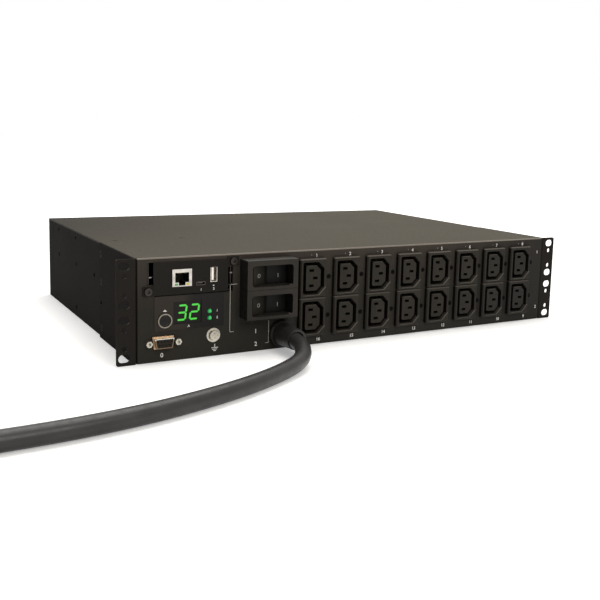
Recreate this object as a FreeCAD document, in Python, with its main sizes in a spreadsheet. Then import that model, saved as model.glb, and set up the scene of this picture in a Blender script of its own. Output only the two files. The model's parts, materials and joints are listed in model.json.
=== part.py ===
"""Rack power distribution unit, two rack units high, with sixteen outlets and a fixed mains cord.

Millimetres. X runs to the right as the front is seen, Y runs back, Z runs up.
The origin is the centre of the chassis base. Heights start at the surface that the unit stands on.
"""

import FreeCAD, Part
import math
import os
import re
import Sketcher

Vector = FreeCAD.Vector

# Driving dimensions

DIMENSIONS = {
    "chassis_width": (445.0, "outside width of the chassis"),
    "chassis_depth": (325.0, "front face of the panel to the back"),
    "chassis_height": (88.1, "two rack units less the standard clearance"),
    "sheet": (1.5, "steel of the tray and the cover"),
    "panel_thickness": (2.0, "steel of the front panel and the ears"),
    "panel_edge_gap": (1.0, "panel to the side of the chassis"),
    "panel_lip": (10.0, "depth of the panel's folded lips"),
    "cover_gap": (0.9, "seam between the panel and the cover"),
    "skirt_height": (11.0, "folded side of the cover"),
    "fit_gap": (0.25, "clearance between parts that slide together"),
    "side_hole": (4.2, "bore of the spare holes in the sides"),
    "ear_span": (478.0, "across both ears"),
    "rack_hole_span": (465.1, "between the rack holes, left to right"),
    "rack_hole_pitch": (31.75, "outer to inner rack hole"),
    "rack_hole_step": (12.7, "between the two inner rack holes"),
    "rack_slot_length": (10.0, "rack slot, end to end"),
    "rack_slot_height": (7.1, "rack slot"),
    "small_hole": (4.8, "bore of the small ear holes"),
    "small_hole_offset": (7.9, "rack hole to its small hole"),
    "ear_corner": (1.6, "radius of the ear's corners"),
    "ear_bracket_depth": (105.0, "ear bracket along the chassis side"),
    "ear_screw_back": (99.0, "ear screws behind the front face"),
    "ear_screw_top": (78.5, "height of the top ear screw"),
    "ear_screw_middle": (52.7, "height of the middle ear screw"),
    "ear_spare_height": (32.8, "height of the spare ear hole"),
    "ear_screw_bottom": (9.6, "height of the bottom ear screw"),
    "screw_radius": (1.9, "shank of the small screws"),
    "screw_length": (7.0, "small screws under the head"),
    "screw_head": (3.3, "radius of a countersunk head"),
    "screw_head_depth": (1.3, "depth of a countersunk head"),
    "card_left": (-208.5, "left side of the card's face"),
    "card_right": (-142.5, "right side of the card's face"),
    "card_bottom": (56.5, "bottom of the card's face"),
    "card_top": (84.2, "top of the card's face"),
    "card_plate": (1.2, "thickness of the card's face"),
    "card_tab": (9.5, "width of the card's screw tabs"),
    "card_tab_height": (8.0, "height of the card's screw tabs"),
    "card_bay_margin": (6.0, "panel opening beyond the card's face"),
    "card_screw_radius": (3.2, "head of the card screws"),
    "card_screw_height": (2.2, "head of the card screws"),
    "card_board_depth": (108.0, "card board, front to back"),
    "board_thickness": (1.6, "every circuit board"),
    "card_board_top": (63.2, "upper face of the card board"),
    "cage_sheet": (1.0, "steel of the card cage"),
    "cage_depth": (108.0, "card cage, front to back"),
    "cage_flange": (11.0, "width of the cage's flanges"),
    "cage_ledge": (6.0, "guides that carry the card board"),
    "cage_screw_back": (113.5, "cage screws behind the front face"),
    "jack_x": (-184.1, "centre of the network jack"),
    "jack_width": (17.0, "network jack"),
    "jack_height": (14.6, "network jack"),
    "jack_depth": (20.0, "network jack"),
    "jack_proud": (0.8, "network jack in front of the card's face"),
    "jack_wall": (0.6, "sheet of the jack's shield"),
    "jack_mouth_width": (12.1, "opening for the plug"),
    "jack_mouth_height": (8.3, "opening for the plug"),
    "jack_key_width": (5.8, "opening for the plug's latch"),
    "jack_key_height": (2.6, "opening for the plug's latch"),
    "jack_frame": (2.9, "metal above the jack's mouth"),
    "console_x": (-167.3, "centre of the console port"),
    "console_width": (7.8, "console port"),
    "console_height": (2.9, "console port"),
    "usb_x": (-155.7, "centre of the upright port"),
    "usb_width": (5.9, "upright port"),
    "usb_height": (13.2, "upright port"),
    "usb_bottom": (65.3, "bottom of the upright port"),
    "port_wall": (0.35, "sheet of the small ports"),
    "port_depth": (14.0, "small ports"),
    "overlay_left": (-207.5, "display label"),
    "overlay_right": (-146.0, "display label"),
    "overlay_bottom": (26.5, "display label"),
    "overlay_top": (55.6, "display label"),
    "overlay_thickness": (0.5, "display label"),
    "display_left": (-191.2, "digit display"),
    "display_width": (25.0, "digit display"),
    "display_bottom": (31.0, "digit display"),
    "display_height": (19.2, "digit display"),
    "display_depth": (8.4, "digit display"),
    "display_recess": (0.3, "digit display behind the front face"),
    "button_x": (-198.5, "centre of the mode button"),
    "button_z": (34.9, "centre of the mode button"),
    "button_radius": (4.9, "cap of the mode button"),
    "button_proud": (2.2, "cap in front of the front face"),
    "button_length": (6.8, "cap of the mode button"),
    "button_dish": (14.0, "radius of the hollow in the cap"),
    "button_travel": (0.8, "stroke of the mode button"),
    "button_play": (0.3, "gap between the cap and its ring"),
    "ring_radius": (6.1, "outside of the button's ring"),
    "ring_proud": (1.6, "ring in front of the front face"),
    "switch_size": (6.0, "switch behind the button"),
    "switch_stem": (1.7, "radius of the switch's stem"),
    "status_x": (-158.6, "centre of the status lights"),
    "status_top": (39.8, "upper status light"),
    "status_pitch": (5.9, "between the status lights"),
    "status_radius": (2.0, "status light"),
    "status_proud": (1.2, "status light in front of the face"),
    "serial_x": (-200.3, "centre of the serial connector"),
    "serial_z": (16.9, "centre of the serial connector"),
    "serial_width": (18.6, "raised rim of the serial connector"),
    "serial_height": (10.6, "raised rim of the serial connector"),
    "serial_rim": (1.6, "rim in front of the front face"),
    "serial_shell_width": (16.4, "plug end of the serial connector"),
    "serial_shell_height": (8.4, "plug end of the serial connector"),
    "serial_proud": (5.8, "plug end in front of the front face"),
    "serial_slant": (1.4, "lean of the connector's sides"),
    "serial_wall": (0.6, "metal of the serial connector"),
    "serial_flange_width": (31.0, "flange behind the panel"),
    "serial_flange_height": (12.6, "flange behind the panel"),
    "serial_contact_pitch": (2.77, "between the contacts"),
    "serial_contact": (0.55, "radius of a contact hole"),
    "serial_depth": (9.0, "connector behind the panel"),
    "jack_screw_span": (25.0, "between the jack screws"),
    "jack_screw_size": (5.0, "jack screw, across its flats"),
    "jack_screw_proud": (4.6, "jack screw in front of the front face"),
    "jack_screw_bore": (1.35, "radius of the jack screw's bore"),
    "ground_x": (-155.4, "centre of the ground screw"),
    "ground_z": (18.8, "centre of the ground screw"),
    "ground_washer": (6.2, "radius of the captive washer"),
    "ground_washer_thickness": (0.9, "captive washer"),
    "ground_head": (4.9, "radius of the screw's head"),
    "ground_head_height": (2.6, "height of the screw's head"),
    "ground_shank": (2.4, "radius of the screw's shank"),
    "ground_length": (9.0, "screw behind the panel"),
    "breaker_x": (-106.6, "centre of the breakers"),
    "breaker_width": (48.6, "breaker guard"),
    "breaker_pitch": (26.0, "between the breakers"),
    "breaker_top": (83.5, "top of the upper guard"),
    "breaker_gap": (0.3, "between the two guards"),
    "guard_depth": (16.0, "guard in front of the front face"),
    "guard_corner": (2.4, "corners of the guard's opening"),
    "guard_mouth": (4.5, "depth of the guard's rounded opening"),
    "breaker_case_width": (45.6, "breaker behind the panel"),
    "breaker_case_height": (23.6, "breaker behind the panel"),
    "breaker_case_depth": (46.0, "breaker behind the panel"),
    "rocker_radius": (19.2, "from the pivot to the rocker's ends"),
    "rocker_height": (17.8, "rocker, top to bottom"),
    "rocker_travel": (26.0, "angle from on to off"),
    "rocker_offset": (1.9, "rocker's faces in front of the pivot"),
    "rocker_pivot": (0.4, "pivot in front of the front face"),
    "rocker_back": (11.0, "back of the rocker behind the pivot"),
    "rocker_gap": (0.4, "clearance round the rocker"),
    "rocker_drop": (1.0, "rocker below the middle of its guard"),
    "rocker_pin": (1.5, "radius of the pivot pins"),
    "rocker_pin_gap": (0.08, "running clearance of the pins"),
    "rocker_pin_length": (1.2, "pins beyond the rocker"),
    "outlet_x": (-60.2, "centre of the first outlet"),
    "outlet_pitch": (35.57, "between the outlets"),
    "outlet_row": (36.0, "between the two rows"),
    "outlet_middle": (44.7, "height midway between the rows"),
    "outlet_flange_width": (27.4, "outlet in front of the panel"),
    "outlet_flange_height": (35.7, "outlet in front of the panel"),
    "outlet_proud": (4.5, "outlet in front of the panel"),
    "outlet_bevel": (1.0, "bevel round the outlet's front"),
    "outlet_body_width": (25.4, "outlet behind the panel"),
    "outlet_body_height": (32.4, "outlet behind the panel"),
    "outlet_body_depth": (30.0, "outlet behind the panel"),
    "socket_width": (21.8, "opening of the outlet"),
    "socket_height": (29.4, "opening of the outlet"),
    "socket_chamfer": (6.0, "cut corners of the opening"),
    "socket_corner": (1.8, "small corners of the opening"),
    "socket_depth": (16.0, "opening of the outlet"),
    "core_width": (15.0, "core of the outlet"),
    "core_height": (23.0, "core of the outlet"),
    "core_chamfer": (4.2, "cut corners of the core"),
    "core_corner": (1.6, "small corners of the core"),
    "core_recess": (0.8, "core behind the outlet's front"),
    "contact_slot_width": (4.8, "contact slot"),
    "contact_slot_height": (2.5, "contact slot"),
    "contact_spread": (7.0, "live and neutral from the middle"),
    "contact_offset": (2.0, "contacts either side of the middle"),
    "contact_gap": (0.15, "contact bar in its slot"),
    "contact_depth": (8.0, "length of the contact bars"),
    "indicator_offset": (18.1, "outlet to its indicator"),
    "indicator_hole": (4.0, "bore of the indicator holes"),
    "indicator_rod": (3.2, "light rod behind the hole"),
    "outlet_board_margin": (18.5, "outlet board beyond the outer outlets"),
    "outlet_board_height": (76.0, "outlet board"),
    "relay_width": (15.0, "outlet relay"),
    "relay_height": (20.0, "outlet relay"),
    "relay_depth": (15.5, "outlet relay"),
    "standoff_height": (8.0, "posts under the control board"),
    "standoff_radius": (3.0, "posts under the control board"),
    "control_left": (-40.0, "control board"),
    "control_width": (230.0, "control board"),
    "control_front": (150.0, "control board behind the front face"),
    "control_depth": (130.0, "control board"),
    "supply_width": (92.0, "power supply"),
    "supply_depth": (54.0, "power supply"),
    "supply_height": (28.0, "power supply"),
    "terminal_width": (46.0, "terminal block"),
    "terminal_depth": (24.0, "terminal block"),
    "terminal_height": (22.0, "terminal block"),
    "terminal_front": (70.0, "terminal block behind the front face"),
    "terminal_wire": (3.2, "radius of a wire entry"),
    "gland_x": (-90.0, "centre of the cord entry"),
    "gland_z": (14.4, "centre of the cord entry"),
    "gland_radius": (12.3, "flange of the cable gland"),
    "gland_proud": (5.0, "flange of the cable gland"),
    "gland_thread": (9.0, "radius of the gland's thread"),
    "gland_nut": (12.0, "ring nut behind the panel, corner to middle"),
    "gland_length": (12.0, "thread behind the front face"),
    "gland_nut_thickness": (4.5, "ring nut behind the panel"),
    "cord_diameter": (14.0, "mains cord"),
    "relief_length": (25.5, "strain relief in front of the gland"),
    "relief_root": (10.4, "radius of the strain relief at the gland"),
    "relief_tip": (9.2, "radius of the strain relief at its tip"),
    "cord_lift": (0.1, "cord above the floor"),
    "coil_aside": (375.0, "middle of the coil to the left of the cord entry"),
    "coil_ahead": (52.0, "middle of the coil in front of the front face"),
    "coil_inner": (49.0, "inside radius of the coil"),
    "coil_lower": (105.5, "outside radius of the lower turns"),
    "coil_upper": (92.0, "outside radius of the upper turns"),
    "tail_radius": (84.0, "where the cord leaves the coil"),
    "tail_length": (64.0, "from the coil's middle to the plug"),
    "plug_radius": (25.5, "mains plug"),
    "plug_length": (70.0, "mains plug without its blades"),
    "plug_relief": (28.0, "tapered end of the plug"),
    "blade_circle": (12.8, "radius of the circle of blades"),
    "blade_thickness": (1.8, "plug blade"),
    "blade_length": (18.0, "plug blade"),
    "blade_angle": (56.0, "arc of a plug blade"),
}

document = FreeCAD.newDocument("RackPowerUnit")
sizes = document.addObject("Spreadsheet::Sheet", "Sizes")
for row, (alias, (value, note)) in enumerate(DIMENSIONS.items(), 1):
    sizes.set(f"A{row}", alias)
    sizes.set(f"B{row}", str(value))
    sizes.setAlias(f"B{row}", alias)
    sizes.set(f"C{row}", note)
document.recompute()

nodes = []

# Places that several pieces share, as formulas of the sheet's values

FRONT = "(-chassis_depth / 2)"
BEHIND_PANEL = f"({FRONT} + panel_thickness)"
COVER_UNDERSIDE = "(chassis_height - sheet)"
CORD_AXIS = "(cord_diameter / 2 + cord_lift)"
UPPER_TURNS = "(cord_diameter * 3 / 2 + cord_lift)"

# Helpers

TURNS = {
    "X": FreeCAD.Rotation(Vector(0, 1, 0), 90),
    "-X": FreeCAD.Rotation(Vector(0, 1, 0), -90),
    "Y": FreeCAD.Rotation(Vector(1, 0, 0), -90),
    "-Y": FreeCAD.Rotation(Vector(1, 0, 0), 90),
    "Z": FreeCAD.Rotation(),
    "-Z": FreeCAD.Rotation(Vector(1, 0, 0), 180),
}
OPPOSITE = {"X": "-X", "-X": "X", "Y": "-Y", "-Y": "Y", "Z": "-Z", "-Z": "Z"}


def size(alias):
    """The value of one cell."""
    return float(sizes.get(alias))


def formula(text):
    """A formula in which each alias names the sheet that holds it."""

    def owner(word):
        found = word.group()
        return "Sizes." + found if found in DIMENSIONS else found

    return re.sub(r"[A-Za-z_]\w*", owner, str(text))


def bind(item, **formulas):
    """Bind properties of a document object to formulas of the sheet."""
    for name, text in formulas.items():
        item.setExpression(name, formula(text))


def place(item, x, y, z, rotation=None):
    """Set an object's rotation and bind its position."""
    item.Placement = FreeCAD.Placement(Vector(), rotation or FreeCAD.Rotation())
    for axis, text in zip("xyz", (x, y, z)):
        item.setExpression("Placement.Base." + axis, formula(text))
    return item


def node(item):
    """Keep a finished sub-part under its own label."""
    item.Label = item.Name
    nodes.append(item)
    return item


def box(name, x, y, z, length, width, height):
    """A block from its lowest corner."""
    made = document.addObject("Part::Box", name)
    bind(made, Length=length, Width=width, Height=height)
    return place(made, x, y, z)


def rod(name, x, y, z, radius, length, along="Y"):
    """A round bar that starts at a point and runs along an axis."""
    made = document.addObject("Part::Cylinder", name)
    bind(made, Radius=radius, Height=length)
    return place(made, x, y, z, TURNS[along])


def cone(name, x, y, z, start_radius, end_radius, length, along="Y"):
    """A tapered bar that starts at a point and runs along an axis."""
    made = document.addObject("Part::Cone", name)
    bind(made, Radius1=start_radius, Radius2=end_radius, Height=length)
    return place(made, x, y, z, TURNS[along])


def join(name, *items):
    """One solid, or one cutter, from several."""
    made = document.addObject("Part::MultiFuse", name)
    made.Shapes = list(items)
    return made


def cut(name, base, *tools):
    """A shape less one or more others."""
    made = document.addObject("Part::Cut", name)
    made.Base = base
    made.Tool = tools[0] if len(tools) == 1 else join(name + "_cutters", *tools)
    return made


def group(name, *items):
    """Like pieces that stay separate solids in one node."""
    made = document.addObject("Part::Compound", name)
    made.Links = list(items)
    return made


def draw(sketch, corners):
    """Draw a closed outline whose corners are pairs of formulas."""
    first = sketch.GeometryCount
    count = len(corners)
    step = math.tau / count
    spots = [Vector(math.cos(turn * step), math.sin(turn * step), 0) for turn in range(count)]
    for index in range(count):
        sketch.addGeometry(Part.LineSegment(spots[index], spots[(index + 1) % count]), False)
    for index in range(count):
        sketch.addConstraint(
            Sketcher.Constraint("Coincident", first + index, 2, first + (index + 1) % count, 1)
        )
    for index, corner in enumerate(corners):
        for kind, text, axis in zip(("DistanceX", "DistanceY"), corner, (-2, -1)):
            if text == "0":
                sketch.addConstraint(Sketcher.Constraint("PointOnObject", first + index, 1, axis))
                continue
            number = sketch.addConstraint(Sketcher.Constraint(kind, -1, 1, first + index, 1, 1.0))
            sketch.setExpression(f"Constraints[{number}]", formula(text))


def draw_circle(sketch, x, y, radius):
    """Draw a circle from formulas."""
    circle = sketch.GeometryCount
    sketch.addGeometry(Part.Circle(Vector(1, 1, 0), Vector(0, 0, 1), 1), False)
    for kind, text, axis in zip(("DistanceX", "DistanceY"), (x, y), (-2, -1)):
        if text == "0":
            sketch.addConstraint(Sketcher.Constraint("PointOnObject", circle, 3, axis))
            continue
        number = sketch.addConstraint(Sketcher.Constraint(kind, -1, 1, circle, 3, 1.0))
        sketch.setExpression(f"Constraints[{number}]", formula(text))
    number = sketch.addConstraint(Sketcher.Constraint("Radius", circle, 1.0))
    sketch.setExpression(f"Constraints[{number}]", formula(radius))


def sketch_on(body, plane, name):
    """A sketch on one of a body's own origin planes."""
    sketch = body.newObject("Sketcher::SketchObject", f"{body.Name}_{name}")
    origin = next(item for item in body.Origin.OriginFeatures if item.Role == plane)
    sketch.AttachmentSupport = [(origin, "")]
    sketch.MapMode = "FlatFace"
    return sketch


def feature(body, kind, sketch, name, **formulas):
    """A feature of a body that uses a sketch."""
    made = body.newObject("PartDesign::" + kind, f"{body.Name}_{name}")
    made.Profile = sketch
    bind(made, **formulas)
    return made


def outline_slab(name, corners, y, depth):
    """A slab whose front outline is drawn in X and Z, from y backwards."""
    sketch = document.addObject("Sketcher::SketchObject", name + "_outline")
    place(sketch, "0", y, "0", FreeCAD.Rotation(Vector(1, 0, 0), 90))
    draw(sketch, corners)
    made = document.addObject("Part::Extrusion", name)
    made.Base = sketch
    made.DirMode = "Custom"
    made.Dir = Vector(0, 1, 0)
    made.Solid = True
    bind(made, LengthFwd=depth)
    return made


def turned(name, profile, x, y, z, rotation=None):
    """A turned body: its profile is radius and distance along Y."""
    body = document.addObject("PartDesign::Body", name)
    sketch = sketch_on(body, "XY_Plane", "profile")
    draw(sketch, profile)
    spun = body.newObject("PartDesign::Revolution", name + "_turn")
    spun.Profile = sketch
    spun.ReferenceAxis = (sketch, ["V_Axis"])
    spun.Angle = 360
    return place(body, x, y, z, rotation)


def countersunk_screw(name, x, y, z, along):
    """A flush screw: its head's face is at the point and its shank runs along an axis."""
    head = cone(name + "_head", x, y, z, "screw_head", "screw_radius", "screw_head_depth", along)
    shank = rod(name + "_shank", x, y, z, "screw_radius", "screw_length", along)
    return join(name, head, shank)


def screw_seat(name, x, y, z, along):
    """The cutter that leaves a clear seat for a countersunk screw."""
    head = cone(
        name + "_cone", x, y, z, "screw_head + fit_gap", "screw_radius + fit_gap", "screw_head_depth", along
    )
    shank = rod(name + "_bore", x, y, z, "screw_radius + fit_gap", "screw_length + fit_gap", along)
    return join(name, head, shank)


def trapezium(x, z, width, height, slant):
    """The corners of a connector's outline, wider at the top."""
    left = f"{x} - ({width}) / 2"
    right = f"{x} + ({width}) / 2"
    low = f"{z} - ({height}) / 2"
    high = f"{z} + ({height}) / 2"
    return [(f"{left} + {slant}", low), (f"{right} - {slant}", low), (right, high), (left, high)]


# Chassis

SIDE_HOLES = {
    "front_middle": (130.0, 54.0),
    "middle_top": (200.0, 81.0),
    "middle_middle": (200.0, 54.0),
    "middle_bottom": (200.0, 9.4),
    "back_top": (275.0, 81.0),
    "back_middle": (275.0, 54.0),
}
STANDOFFS = [(x, y) for x in ("control_left + 8", "control_left + control_width - 8")
             for y in ("control_front + 8", "control_front + control_depth - 8")]
EAR_SCREW_HEIGHTS = ("ear_screw_top", "ear_screw_middle", "ear_screw_bottom")


def make_tray():
    """Folded floor, sides and back, with the posts that are pressed into the floor."""
    outer = box(
        "tray_outside", "-chassis_width / 2", BEHIND_PANEL, "0",
        "chassis_width", "chassis_depth - panel_thickness", COVER_UNDERSIDE,
    )
    hollow = box(
        "tray_inside", "sheet - chassis_width / 2", FRONT, "sheet",
        "chassis_width - 2 * sheet", "chassis_depth - sheet", "chassis_height",
    )
    cutters = [hollow]
    for name, (back, height) in SIDE_HOLES.items():
        cutters.append(
            rod("side_hole_" + name, "-chassis_width", f"{FRONT} + {back}", f"{height}",
                "side_hole / 2", "2 * chassis_width", "X")
        )
    for number, height in enumerate(EAR_SCREW_HEIGHTS + ("ear_spare_height",)):
        cutters.append(
            rod(f"ear_screw_bore_{number}", "-chassis_width", f"{FRONT} + ear_screw_back", height,
                "screw_radius + fit_gap / 2", "2 * chassis_width", "X")
        )
    shell = cut("tray_shell", outer, *cutters)
    posts = [
        rod(f"tray_post_{number}", x, f"{FRONT} + {y}", "sheet / 2",
            "standoff_radius", "standoff_height + sheet / 2", "Z")
        for number, (x, y) in enumerate(STANDOFFS)
    ]
    node(join("chassis_tray", shell, *posts))


CAGE_SCREWS = ("card_left + 1.5", "card_right + 0.5")


def make_cover():
    """Flat lid with folded sides that slide down inside the tray's sides."""
    lid = box(
        "cover_lid", "-chassis_width / 2", f"{BEHIND_PANEL} + cover_gap", COVER_UNDERSIDE,
        "chassis_width", "chassis_depth - panel_thickness - cover_gap", "sheet",
    )
    skirts = [
        box(
            "cover_skirt_" + side, x, f"{BEHIND_PANEL} + panel_lip + 2 * fit_gap",
            f"{COVER_UNDERSIDE} - skirt_height",
            "sheet", "chassis_depth - panel_thickness - panel_lip - sheet - 4 * fit_gap",
            "skirt_height + sheet / 2",
        )
        for side, x in (
            ("left", "sheet + fit_gap - chassis_width / 2"),
            ("right", "chassis_width / 2 - 2 * sheet - fit_gap"),
        )
    ]
    seats = [
        screw_seat(f"cover_seat_{number}", x, f"{FRONT} + cage_screw_back", "chassis_height", "-Z")
        for number, x in enumerate(CAGE_SCREWS)
    ]
    bores = [
        rod(f"skirt_bore_{number}", "-chassis_width", f"{FRONT} + ear_screw_back", height,
            "screw_radius + fit_gap / 2", "2 * chassis_width", "X")
        for number, height in enumerate(("ear_screw_top",))
    ]
    node(cut("top_cover", join("cover_folded", lid, *skirts), *seats, *bores))


def make_ears():
    """Folded rack ears: the plate faces the front and the bracket runs back along the side."""
    for side, sign in (("left", "-1"), ("right", "1")):
        name = side + "_rack_ear"
        body = document.addObject("PartDesign::Body", name)
        inner, outer = f"{sign} * chassis_width / 2", f"{sign} * ear_span / 2"
        plan = sketch_on(body, "XY_Plane", "plan")
        draw(plan, [
            (inner, "0"),
            (outer, "0"),
            (outer, "panel_thickness"),
            (f"{sign} * (chassis_width / 2 + panel_thickness)", "panel_thickness"),
            (f"{sign} * (chassis_width / 2 + panel_thickness)", "ear_bracket_depth"),
            (inner, "ear_bracket_depth"),
        ])
        pad = feature(body, "Pad", plan, "fold", Length="chassis_height")
        document.recompute()
        round_edges(body, pad, "bend", "panel_thickness * 0.9",
                    lambda edge: upright(edge) and near(edge, abs(size("chassis_width") / 2), 0))
        round_edges(body, body.Tip, "corners", "ear_corner",
                    lambda edge: deep(edge) and abs(abs(edge.CenterOfMass.x) - size("ear_span") / 2) < 0.01)
        holes = sketch_on(body, "XZ_Plane", "holes")
        middle = "chassis_height / 2"
        for direction in ("1", "-1"):
            inner_row = f"{middle} + {direction} * rack_hole_step / 2"
            outer_row = f"{middle} + {direction} * (rack_hole_step / 2 + rack_hole_pitch)"
            for height in (inner_row, outer_row):
                draw_slot(holes, f"{sign} * rack_hole_span / 2", height)
            for small_row in (f"{inner_row} + {direction} * small_hole_offset",
                              f"{outer_row} - {direction} * small_hole_offset"):
                draw_circle(holes, f"{sign} * rack_hole_span / 2", small_row, "small_hole / 2")
        pocket = feature(body, "Pocket", holes, "rack_holes")
        pocket.SideType = "Symmetric"
        pocket.Type = "ThroughAll"
        place(body, "0", FRONT, "0")
        spare = rod(
            name + "_spare_hole", f"{sign} * chassis_width", f"{FRONT} + ear_screw_back", "ear_spare_height",
            "side_hole / 2", "chassis_width", "-X" if sign == "1" else "X",
        )
        seats = [
            screw_seat(f"{name}_seat_{number}", f"{sign} * (chassis_width / 2 + panel_thickness)",
                       f"{FRONT} + ear_screw_back", height, "-X" if sign == "1" else "X")
            for number, height in enumerate(EAR_SCREW_HEIGHTS)
        ]
        body.Label = name + "_blank"
        drilled = cut(name + "_drilled", body, spare, *seats)
        nodes.append(drilled)
        drilled.Label = name


def upright(edge):
    """Whether an edge runs along Z."""
    ends = edge.Vertexes
    return len(ends) == 2 and abs(ends[0].X - ends[1].X) < 0.01 and abs(ends[0].Y - ends[1].Y) < 0.01


def deep(edge):
    """Whether an edge runs along Y."""
    ends = edge.Vertexes
    return len(ends) == 2 and abs(ends[0].X - ends[1].X) < 0.01 and abs(ends[0].Z - ends[1].Z) < 0.01


def near(edge, x, y):
    """Whether an upright edge stands at a place, on either side of the middle."""
    return abs(abs(edge.CenterOfMass.x) - x) < 0.01 and abs(edge.CenterOfMass.y - y) < 0.01


def round_edges(body, base, name, radius, wanted, kind="Fillet"):
    """Round or bevel the edges of a body's feature that a test picks out."""
    picked = [f"Edge{number}" for number, edge in enumerate(base.Shape.Edges, 1) if wanted(edge)]
    made = body.newObject("PartDesign::" + kind, f"{body.Name}_{name}")
    made.Base = (base, picked)
    bind(made, **{"Radius" if kind == "Fillet" else "Size": radius})
    document.recompute()
    return made


def draw_slot(sketch, x, z):
    """Draw a rack slot with rounded ends, as an outline of eight corners and two arcs."""
    half = "(rack_slot_length - rack_slot_height) / 2"
    first = sketch.GeometryCount
    top, bottom, right, left = Vector(0, 1, 0), Vector(0, -1, 0), Vector(1, 0, 0), Vector(-1, 0, 0)
    sketch.addGeometry(Part.LineSegment(top + left, top + right), False)
    sketch.addGeometry(Part.Arc(top + right, right * 2, bottom + right), False)
    sketch.addGeometry(Part.LineSegment(bottom + right, bottom + left), False)
    sketch.addGeometry(Part.Arc(bottom + left, left * 2, top + left), False)
    arc_ends = {1: (2, 1), 3: (2, 1)}
    for line, arc in ((0, 1), (2, 3)):
        sketch.addConstraint(Sketcher.Constraint("Tangent", first + line, 2, first + arc, arc_ends[arc][0]))
        after = (line + 2) % 4
        sketch.addConstraint(Sketcher.Constraint("Tangent", first + arc, arc_ends[arc][1], first + after, 1))
    sketch.addConstraint(Sketcher.Constraint("Horizontal", first))
    for arc, sign in ((1, "+"), (3, "-")):
        for kind, text in (("DistanceX", f"{x} {sign} {half}"), ("DistanceY", z)):
            number = sketch.addConstraint(Sketcher.Constraint(kind, -1, 1, first + arc, 3, 1.0))
            sketch.setExpression(f"Constraints[{number}]", formula(text))
    number = sketch.addConstraint(Sketcher.Constraint("Radius", first + 1, 1.0))
    sketch.setExpression(f"Constraints[{number}]", formula("rack_slot_height / 2"))


def box_around(name, x, y, z, width, depth, height):
    """A block centred in X and Z whose front is at y."""
    return box(name, f"{x} - ({width}) / 2", y, f"{z} - ({height}) / 2", width, depth, height)


def behind(distance):
    """The Y of a place behind the front face."""
    return f"({FRONT} + ({distance}))"


def cross_recess(name, x, y, z, width, depth, along):
    """The cutter of a cross-headed screw, from its head's face."""
    blades = []
    for number, (first, second) in enumerate(((width, f"({width}) / 4"), (f"({width}) / 4", width))):
        spans = {"X": (depth, first, second), "Y": (first, depth, second), "Z": (first, second, depth)}
        direction = along[-1]
        starts = [x, y, z]
        for place_number, axis in enumerate("XYZ"):
            span = spans[direction][place_number]
            if axis != direction:
                starts[place_number] = f"{starts[place_number]} - ({span}) / 2"
            elif along.startswith("-"):
                starts[place_number] = f"{starts[place_number]} - ({span})"
        blades.append(box(f"{name}_{number}", *starts, *spans[direction]))
    return join(name, *blades)


def flush_screw(name, x, y, z, along):
    """A countersunk screw with a cross recess."""
    recess = cross_recess(name + "_cross", x, y, z, "screw_head * 1.1", "screw_head_depth * 0.7", along)
    return cut(name, countersunk_screw(name + "_blank", x, y, z, along), recess)


def make_chassis_screws():
    """The screws that hold the ears and those that hold the cover."""
    ear_screws = [
        flush_screw(f"{side}_ear_screw_{number}", f"{sign} * (chassis_width / 2 + panel_thickness)",
                    behind("ear_screw_back"), height, "-X" if sign == "1" else "X")
        for side, sign in (("left", "-1"), ("right", "1"))
        for number, height in enumerate(EAR_SCREW_HEIGHTS)
    ]
    node(group("ear_screws", *ear_screws))
    cover_screws = [
        flush_screw(f"cover_screw_{number}", x, behind("cage_screw_back"), "chassis_height", "-Z")
        for number, x in enumerate(CAGE_SCREWS)
    ]
    node(group("cover_screws", *cover_screws))


# Front panel

CARD_SCREWS = (
    ("card_left - card_tab / 2", "card_bottom + card_tab_height / 2"),
    ("card_right + card_tab / 2", "card_top - card_tab_height / 4"),
)
JACK_Z = "(card_board_top + jack_height / 2)"
CONSOLE_Z = "(card_board_top + console_height / 2)"
USB_Z = "(usb_bottom + usb_height / 2)"
STATUS_LIGHTS = ("status_top", "status_top - status_pitch")
JACK_SCREWS = ("serial_x - jack_screw_span / 2", "serial_x + jack_screw_span / 2")
BREAKERS = {
    1: "(breaker_top - (breaker_pitch - breaker_gap) / 2)",
    2: "(breaker_top - (breaker_pitch - breaker_gap) / 2 - breaker_pitch)",
}
UPPER_ROW = "(outlet_middle + outlet_row / 2)"
LOWER_ROW = "(outlet_middle - outlet_row / 2)"
OUTLETS = {}
for column in range(8):
    OUTLETS[column + 1] = (f"(outlet_x + {column} * outlet_pitch)", UPPER_ROW)
    OUTLETS[16 - column] = (f"(outlet_x + {column} * outlet_pitch)", LOWER_ROW)


def rectangle(x, z, width, height):
    """The corners of an upright rectangle from its middle."""
    left, right = f"{x} - ({width}) / 2", f"{x} + ({width}) / 2"
    low, high = f"{z} - ({height}) / 2", f"{z} + ({height}) / 2"
    return [(left, low), (right, low), (right, high), (left, high)]


def rounded_rectangle(x, z, width, height, radius):
    """The corners of an upright rectangle from its middle, each corner softened by two short edges."""
    corners = rectangle(x, z, width, height)
    outline = []
    for (corner_x, corner_z), (across, up), level_first in zip(
        corners, (("+", "+"), ("-", "+"), ("-", "-"), ("+", "-")), (False, True, False, True)
    ):
        points = [
            (corner_x, f"{corner_z} {up} {radius}"),
            (f"{corner_x} {across} 0.29 * {radius}", f"{corner_z} {up} 0.29 * {radius}"),
            (f"{corner_x} {across} {radius}", corner_z),
        ]
        outline += points[::-1] if level_first else points
    return outline


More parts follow.
